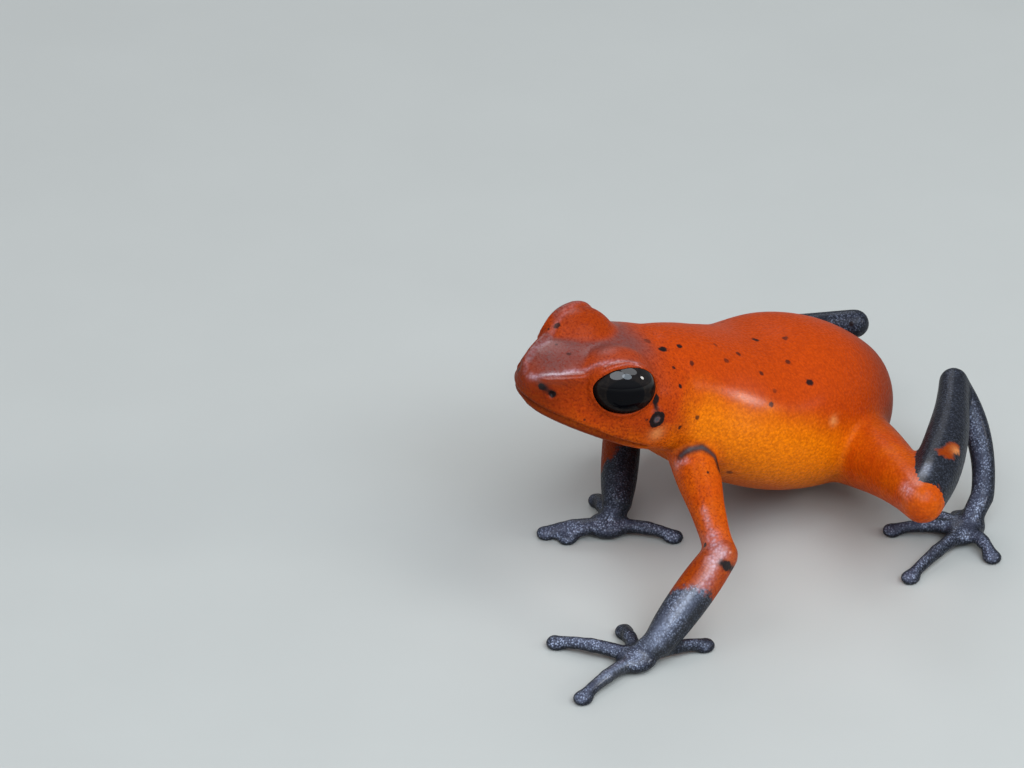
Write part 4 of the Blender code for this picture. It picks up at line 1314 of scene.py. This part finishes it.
class FROG_OT_skin(bpy.types.Operator):
    """Build the frog's one unbroken skin with its colours"""

    bl_idname = "frog.skin"
    bl_label = "Skin"

    def execute(self, context):
        scene = context.scene
        sizes = scene.frog_sizes
        voxel = sizes.voxel * 1.0
        pieces = [loft(TRUNK_SECTIONS, TRUNK_ROUND, TRUNK_BOXINESS, TRUNK_FRAME)] + head_forms()
        for _, _, start, end, radii, bow in limb_bones():
            pieces += bone(start, end, radii, bow)
        for joint, pad, tips, form in paws():
            pieces += paw(joint, pad, tips, form)
        skin = fused(pieces, ROUGH_VOXEL)
        skin.vertex_groups.clear()
        rims, margins = lid_rims(skin)
        skin = joined([skin] + rims)
        with_modifier(skin, "REMESH", mode="VOXEL", voxel_size=voxel)
        with_modifier(skin, "SMOOTH", factor=0.5, iterations=3)
        for side in (1, -1):
            cut(skin, eye_form(side, 0.012, 64))
            cut(skin, lid_plug(side))
        sculpt_body(skin)
        sculpt_head(skin, sizes)
        thinned(skin, SKIN_TRIANGLES)
        resting(skin)
        places = places_of(skin)
        looks = {**colour_zones(skin), **spot_values(skin, places, sizes)}
        looks["crease_shade_and_marks"] = strongest(places, crease_lines(margins))
        looks["gleam"] = strongest(places, gleam_lines())
        looks["pale"] = strongest(places, PALE_SPOTS_AND_JAW_HIGHLIGHT)
        looks["wet"] = wet_values(places)
        for name, values in looks.items():
            put_values(skin, name, values)
        scene["frog_shift"] = home_shift(skin)
        nodes = [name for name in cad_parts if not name.startswith("eye")]
        material = skin_material(scene.frog_colours, sizes)
        finished(skin, "frog_skin", Vector(scene["frog_shift"]), material, nodes)
        return {"FINISHED"}


class FROG_OT_eyes(bpy.types.Operator):
    """Build both wet eyes"""

    bl_idname = "frog.eyes"
    bl_label = "Eyes"

    def execute(self, context):
        scene = context.scene
        material = eye_material(scene.frog_colours)
        for side, label in ((1, "left"), (-1, "right")):
            eye = eye_form(side)
            local = local_to(eye_frame(side), places_of(eye))
            radial = np.hypot(local[:, 0] / EYE_SIZE[0], local[:, 1] / EYE_SIZE[1])
            put_values(eye, "iris", np.where(local[:, 2] > EYE_OUT, radial, 1.0))
            put_values(eye, "gloss", 0.15 + 0.85 * ramp(normals_of(eye)[:, 2], 0.15, 0.40))
            name = "eye_" + label
            finished(eye, "wet_" + name, Vector(scene["frog_shift"]), material, [name])
        return {"FINISHED"}


def view_axes():
    around, above, roll = (math.radians(VIEW[key]) for key in ("round", "above", "roll"))
    back = Vector(
        (math.sin(around) * math.cos(above), -math.cos(around) * math.cos(above), math.sin(above))
    )
    level = Vector((0.0, 0.0, 1.0)).cross(back).normalized()
    upright = back.cross(level)
    right = level * math.cos(roll) + upright * math.sin(roll)
    up = upright * math.cos(roll) - level * math.sin(roll)
    return right, up, back


def soft_light(name, place, size, power, colour):
    """A round soft light at a place in millimetres, turned to the frog."""
    bpy.ops.object.light_add(type="AREA")
    lamp = bpy.context.active_object
    lamp.name = name
    lamp.data.shape = "DISK"
    lamp.data.size = size * MM
    lamp.data.energy = power
    lamp.data.color = colour
    facing = (Vector(place) - LAMP_AIM).to_track_quat("Z", "Y").to_matrix().to_4x4()
    lamp.matrix_world = Matrix.Translation(Vector(place) * MM) @ facing


class FROG_OT_stage(bpy.types.Operator):
    """Set up the camera, the pale floor and the soft lights"""

    bl_idname = "frog.stage"
    bl_label = "Stage"

    def execute(self, context):
        scene = context.scene
        right, up, back = view_axes()
        per_mm = VIEW["focal"] / VIEW["distance"]
        place = back * VIEW["distance"] - right * (VIEW_SHIFT[0] / per_mm) - up * (VIEW_SHIFT[1] / per_mm)
        bpy.ops.object.camera_add()
        camera = context.active_object
        camera.name = "photo_camera"
        rows = Matrix((right, up, back)).transposed().to_4x4()
        camera.matrix_world = Matrix.Translation((place + Vector(scene["frog_shift"])) * MM) @ rows
        camera.data.sensor_width = 36.0
        camera.data.lens = VIEW["focal"] / PHOTO_WIDTH * camera.data.sensor_width
        camera.data.clip_start = 0.001
        camera.data.clip_end = 20.0
        scene.camera = camera

        bpy.ops.mesh.primitive_plane_add(size=6.0)
        floor = context.active_object
        floor.name = "floor"
        floor.data.materials.append(floor_material(scene.frog_colours))

        for name, values in LAMPS.items():
            soft_light(name, *values)
        world = bpy.data.worlds.new("studio")
        world.use_nodes = True
        backdrop = world.node_tree.nodes["Background"]
        backdrop.inputs[0].default_value = STUDIO_COLOUR
        backdrop.inputs[1].default_value = STUDIO_STRENGTH
        scene.world = world
        scene.view_settings.view_transform = "Standard"
        return {"FINISHED"}


class FROG_PT_panel(bpy.types.Panel):
    """Shows the frog's sizes, colours and build buttons in the sidebar"""

    bl_label = "Poison dart frog"
    bl_idname = "FROG_PT_panel"
    bl_space_type = "VIEW_3D"
    bl_region_type = "UI"
    bl_category = "Frog"

    def draw(self, context):
        for group in (context.scene.frog_sizes, context.scene.frog_colours):
            for name in group.bl_rna.properties.keys():
                if name not in ("rna_type", "name"):
                    self.layout.prop(group, name)
        for operator in ("frog.skin", "frog.eyes", "frog.stage"):
            self.layout.operator(operator)


CLASSES = (FrogSizes, FrogColours, FROG_OT_skin, FROG_OT_eyes, FROG_OT_stage, FROG_PT_panel)


def register():
    for cls in CLASSES:
        bpy.utils.register_class(cls)
    bpy.types.Scene.frog_sizes = PointerProperty(type=FrogSizes)
    bpy.types.Scene.frog_colours = PointerProperty(type=FrogColours)


def unregister():
    del bpy.types.Scene.frog_colours
    del bpy.types.Scene.frog_sizes
    for cls in reversed(CLASSES):
        bpy.utils.unregister_class(cls)


def plain(box):
    return [[float(value) for value in corner] for corner in box]


def main():
    register()
    bpy.ops.frog.skin()
    bpy.ops.frog.eyes()
    bpy.ops.frog.stage()


if __name__ == "__main__":
    main()
